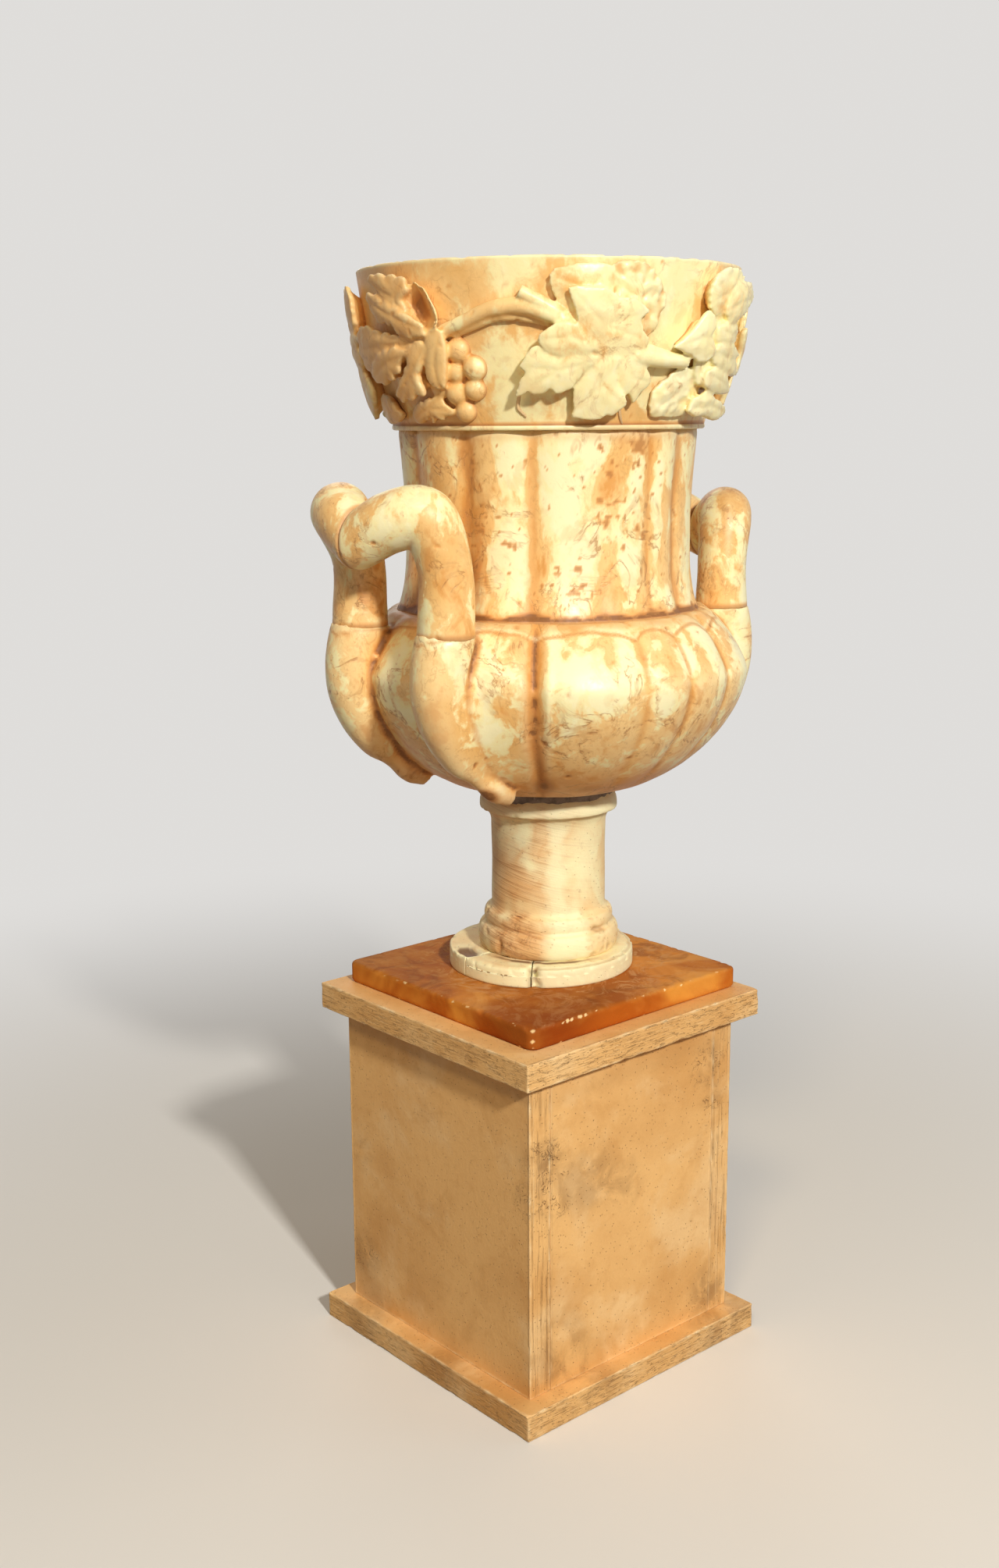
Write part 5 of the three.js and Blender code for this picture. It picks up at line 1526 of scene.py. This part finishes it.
def stems(a):
    return [
        branch([(a - 168, 60, 6), (a - 163, 64.5, 4), (a - 157, 69.5, 4), (a - 149.4, 76.5, 4),
                (a - 141.5, 79, 4), (a - 135, 75.5, 4.5), (a - 128.5, 69.5, 5), (a - 120, 58, 6)],
               [4, 4.6, 4.6, 5, 5.6, 5.6, 5.2, 4.5], 123),
        branch([(a - 161, 61.5, 1.5), (a - 154, 67.5, 2), (a - 146, 72.5, 2), (a - 136, 70, 2),
                (a - 129, 64, 2)], [2.4, 3, 3, 2.8, 2.2], 124),
        branch([(a - 129, 72, 4), (a - 134.5, 80, 5), (a - 140.5, 87.5, 6)], [5.2, 5, 4.4], 125),
        branch([(a - 108, 48, 5), (a - 98, 45.5, 6), (a - 88, 44.5, 5)], [6.5, 5.6, 4.6], 126),
        branch([(a - 107, 55, 3.5), (a - 99, 50.5, 4), (a - 90, 47, 3)], [3.6, 3.0, 2.4], 127),
        branch([(a - 142, 23, 0), (a - 142.6, 15, 0.4), (a - 140, 8.5, 0.2)], [1.3, 1.5, 1.0], 128),
        branch([(a - 109, 18, 0), (a - 108.4, 10, 0.4), (a - 107, 4, 0.2)], [1.2, 1.4, 1.0], 129),
    ]


def berry_places(a):
    angles = np.array([angle + a for angle, height in BERRIES])
    heights = np.array([height for angle, height in BERRIES])
    return piece_from("berry_places", band_place(angles, heights, np.full(len(angles), BERRY_LIFT)), [])


def carving(name, a):
    """All leaves, berries and branches of one side, turned by an angle and grown into one."""
    grapes = berry_tree(None).shape(berry_places(a), "grapes",
                                    {"Radius": BERRY_RADIUS / 1000.0, "Seed": 4})
    bunch = (mesh_points(grapes), [tuple(face.vertices) for face in grapes.data.polygons])
    bpy.data.objects.remove(grapes)
    made = piece_from(name, *merged(left_leaf(a) + middle_leaf(a) + right_leaf(a) + far_leaf(a)
                                      + stems(a) + [bunch]))
    return grown_together(made, CARVING_VOXEL, ease=2)


band = piece_from("vine_band_drum", *band_drum())
band_chips = hand_worked(band, 0.25, 0.6, 131)
shape = mesh_points(band)
band_turns = np.degrees(np.arctan2(shape[:, 1], shape[:, 0]))
age(band, 6, 0.8, band_chips, 0.0, tint_places(band_turns, shape[:, 2] - BAND_BOTTOM, BAND_TINTS_AND_SHADE, 0.42))
band_stone = vase_marble("band_marble", 8.0, 0.5, 0.07, 0.8, veined=0.4)
shape[:, :2] += VASE_AXIS
move_points(band, shape)
band.data.materials.append(band_stone)
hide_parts("vine_band")
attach(band, "vase")
for side_name, a in (("front", 0), ("rear", 180)):
    vine = carving("vine_carving_" + side_name, a)
    vine_chips = hand_worked(vine, 0.25, 0.9, 133 + a)
    shape = mesh_points(vine)
    lift = np.hypot(shape[:, 0], shape[:, 1]) - band_radius(shape[:, 2] - BAND_BOTTOM)
    # Painted shade: the low walls and undersides of the blades, the hollows near the drum and the side away from the
    # light are darkened, and the chips too. Raised edges get painted highlight, and the pale mark grows with how far
    # the carving stands out.
    low_down = np.clip((8.0 - lift) / 6.0, 0, 1)
    vine_turns = np.degrees(np.arctan2(shape[:, 1], shape[:, 0]))
    shady = np.clip(turn_gap(-166.0, vine_turns) / 8.0, 0, 1) * np.clip(turn_gap(vine_turns, 150.0) / 10.0, 0, 1)
    wall_shade = 0.75 * np.clip((4.0 - lift) / 3.0, 0, 1) + 0.25 * shady
    mark(vine, "worn", np.maximum(wall_shade, low_down * np.clip(1.2 * hollows(vine, 14, 1.4), 0, 1)) + 0.4 * vine_chips)
    mark(vine, "rubbed", np.clip(-hollows(vine, 8, 0.9), 0, 1))
    mark(vine, "pale", tint_places(vine_turns, shape[:, 2] - BAND_BOTTOM, VINE_TINTS_AND_SHADE, 0.48 + lift / 30))
    shape[:, :2] += VASE_AXIS
    move_points(vine, shape)
    vine.data.materials.clear()
    vine.data.materials.append(band_stone)
    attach(vine, "vase")

# Handles: each free loop is two bars of the same marble, glued on the lower arms at the shoulder
# and to each other in the middle of the bridge. Each bar is smoothed by hand and has chips at its
# joints.
GLUE_JOINT = 0.1
GLUE_SINK = 0.9
LOOP_STATIONS = {"spring": (0.0, 48.0, 46.0, 18.5), "arch": (10.0, 41.0, 79.0, 20.5),
                 "bend": (25.0, 23.0, 77.0, 20.5), "bridge": (34.0, 0.0, 64.0, 19.0)}
BRIDGE_DIP = 5.0
LEFT_REAR_LEAN = 9.0
RIGHT_DROP = 11.0


def half_loop(name, side, front, lean, drop, seed):
    seam = node_box("bowl")[0][2] + ARM_SEAM - GLUE_SINK
    spring, arch, bend, bridge = LOOP_STATIONS.values()
    stations = [(0.0, ARM_SPACING, 0.0, ARM_RADIUS),
                (spring[0], spring[1], spring[2] - drop, spring[3]),
                (arch[0] + lean, arch[1], arch[2] - drop, arch[3]),
                (bend[0] + lean / 2, bend[1], bend[2] - drop, bend[3]),
                (bridge[0], 0.0, bridge[2] - drop, bridge[3]),
                (bridge[0], -bridge[3], bridge[2] - BRIDGE_DIP - drop, bridge[3])]
    fine = smooth_path(np.array(stations), 14)
    centres = np.column_stack([side * (ARM_REACH + fine[:, 0]), front * fine[:, 1], seam + fine[:, 2]])
    loop = piece_from(name, *bar(centres, fine[:, 3], (0, 0, 1), facets=48))
    low = (-400.0, min(front * GLUE_JOINT / 2, front * 400.0), seam)
    high = (400.0, max(front * GLUE_JOINT / 2, front * 400.0), seam + 400.0)
    cutter = piece_from(name + "_cutter", *block_skin(low, high))
    trim = loop.modifiers.new("trim", "BOOLEAN")
    trim.operation = "INTERSECT"
    trim.solver = "EXACT"
    trim.object = cutter
    applied(loop)
    bpy.data.objects.remove(cutter)
    return grown_together(loop, HANDLE_VOXEL)


def block_skin(low, high):
    """Points and faces of a plain block, for cutting."""
    corners = [(low[0], low[1]), (high[0], low[1]), (high[0], high[1]), (low[0], high[1])]
    return skin([np.array([(x, y, z) for x, y in corners]) for z in (low[2], high[2])])


handle_stone = vase_marble("handle_marble", 11.0)
for node, side, front, lean, drop in (("handle_left_front", -1, -1, 0, 0),
                                      ("handle_left_rear", -1, 1, LEFT_REAR_LEAN, 0),
                                      ("handle_right_front", 1, -1, 0, RIGHT_DROP),
                                      ("handle_right_rear", 1, 1, 0, RIGHT_DROP)):
    loop = half_loop(node + "_marble", side, front, lean, drop, 141)
    loop_chips = hand_worked(loop, 0.5, 1.0, 143 + side + 3 * front)
    shape = mesh_points(loop)
    seam_low = node_box(node)[0][2]
    near_seam = np.maximum(np.exp(-((shape[:, 2] - seam_low) / 3.0) ** 2),
                           np.exp(-(shape[:, 1] / 2.5) ** 2))
    age(loop, 20, 1.6, loop_chips, 0.7 * near_seam)
    shape[:, :2] += VASE_AXIS
    move_points(loop, shape)
    loop.data.materials.clear()
    loop.data.materials.append(handle_stone)
    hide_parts(node)
    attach(loop, "vase")

# Tie rod with its nuts and washers: dull black iron through plate, disc, stem, mortar and bowl
# floor. Nothing of it shows until the vase is lifted or looked into.


def black_iron():
    finish = Finish("black_iron")
    scale = finish.cloud(180.0, 5.0, 0.65)
    colour = finish.tinted(scale.between(0.45, 0.65), tone(62, 56, 50), tone(112, 74, 48))
    return finish.surface(colour, 0.5 + 0.25 * scale, scale, 0.0003, Metallic=0.85)


iron = black_iron()
for node in ("tie_rod", "washer_lower", "nut_lower", "washer_upper", "nut_upper"):
    for material_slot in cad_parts[node].material_slots:
        material_slot.material = iron

# Stage: a plain pale floor that fades into an even backdrop, soft studio light from the
# photograph's side, and a camera where the photograph was taken from.
FLOOR_SIDE = 24000.0
BACKDROP = (0.74, 0.725, 0.705, 1.0)
FADE_FROM, FADE_TO = 0.3, 1.5


def seen_directly(nodes):
    """1 for rays from the camera and for those that gloss or glass send on, else 0."""
    kinds = [nodes.node("ShaderNodeLightPath", output=kind)
             for kind in ("Is Camera Ray", "Is Glossy Ray", "Is Transmission Ray")]
    return kinds[0].math("ADD", kinds[0], kinds[1]).math("ADD", kinds[0] + kinds[1], kinds[2], clamp=True)


def floor_paint():
    """Matt pale paint near the object; further off, the backdrop's own even tone."""
    finish = Finish("pale_floor")
    texture = finish.cloud(3.0, 2.0)
    colour = finish.tinted(texture * 0.2, tone(236, 233, 228), tone(230, 227, 222))
    seen = seen_directly(finish)
    colour = finish.tinted(seen, tone(124, 108, 94), colour)
    matt = finish.node("ShaderNodeBsdfPrincipled", None, {"Base Color": colour, "Roughness": 0.9})
    even = finish.node("ShaderNodeEmission", None, {"Color": BACKDROP, "Strength": 1.0})
    away = finish.node("ShaderNodeVectorMath", {"operation": "LENGTH"}, {0: finish.place}, output="Value")
    far = away.between(FADE_FROM, FADE_TO) * seen
    mixed = finish.node("ShaderNodeMixShader", None, {0: far, 1: matt, 2: even})
    finish.node("ShaderNodeOutputMaterial", None, {"Surface": mixed})
    return finish.material


half_floor = FLOOR_SIDE / 2
floor = piece_from("floor", [(-half_floor, -half_floor, 0), (half_floor, -half_floor, 0),
                             (half_floor, half_floor, 0), (-half_floor, half_floor, 0)], [(0, 1, 2, 3)],
                   smooth=False)
floor.data.materials.append(floor_paint())

world = bpy.data.worlds.new("studio")
bpy.context.scene.world = world
world.use_nodes = True
sky = Nodes(world.node_tree)
ambient = sky.node("ShaderNodeBackground", None, {"Color": (1.0, 0.97, 0.93, 1.0), "Strength": 0.15})
backdrop = sky.node("ShaderNodeBackground", None, {"Color": BACKDROP, "Strength": 1.0})
mixed = sky.node("ShaderNodeMixShader", None, {0: seen_directly(sky), 1: ambient, 2: backdrop})
sky.node("ShaderNodeOutputWorld", None, {"Surface": mixed})


def lamp(name, place, target, size, watts, colour):
    data = bpy.data.lights.new(name, "AREA")
    data.energy = watts
    data.size = size
    data.color = colour
    made = bpy.data.objects.new(name, data)
    bpy.context.scene.collection.objects.link(made)
    made.location = place
    made.rotation_euler = (Vector(target) - Vector(place)).to_track_quat("-Z", "Y").to_euler()


lamp("key", (-1.08, -3.32, 2.41), (0.0, 0.0, 0.45), 0.26, 132.0, (1.0, 0.97, 0.91))
lamp("side", (-2.3, -1.7, 3.0), (0.0, 0.0, 0.35), 0.6, 34.0, (1.0, 0.8, 0.52))
lamp("glow", (-1.9, -1.9, 0.12), (0.0, 0.0, 0.45), 0.9, 4.0, (1.0, 0.84, 0.62))
lamp("fill", (2.6, -2.0, 1.4), (0.0, 0.0, 0.5), 1.6, 8.0, (1.0, 0.97, 0.93))
lamp("back", (1.8, 2.8, 2.2), (0.0, 0.0, 0.5), 1.6, 14.0, (1.0, 0.97, 0.93))

CAMERA_PLACE = (-0.8557, -0.9334, 0.7119)
CAMERA_LOOK = (0.64418, 0.73562, -0.20948)
CAMERA_ROLL = -0.0063
CAMERA_LENS = 39.65
lens = bpy.data.cameras.new("camera")
lens.lens = CAMERA_LENS
lens.sensor_width = 36.0
camera = bpy.data.objects.new("camera", lens)
bpy.context.scene.collection.objects.link(camera)
aim = Vector(CAMERA_LOOK).to_track_quat("-Z", "Y")
camera.rotation_mode = "QUATERNION"
camera.rotation_quaternion = aim @ Quaternion((0, 0, 1), CAMERA_ROLL)
camera.location = CAMERA_PLACE
bpy.context.scene.camera = camera
bpy.context.scene.view_settings.view_transform = "Standard"
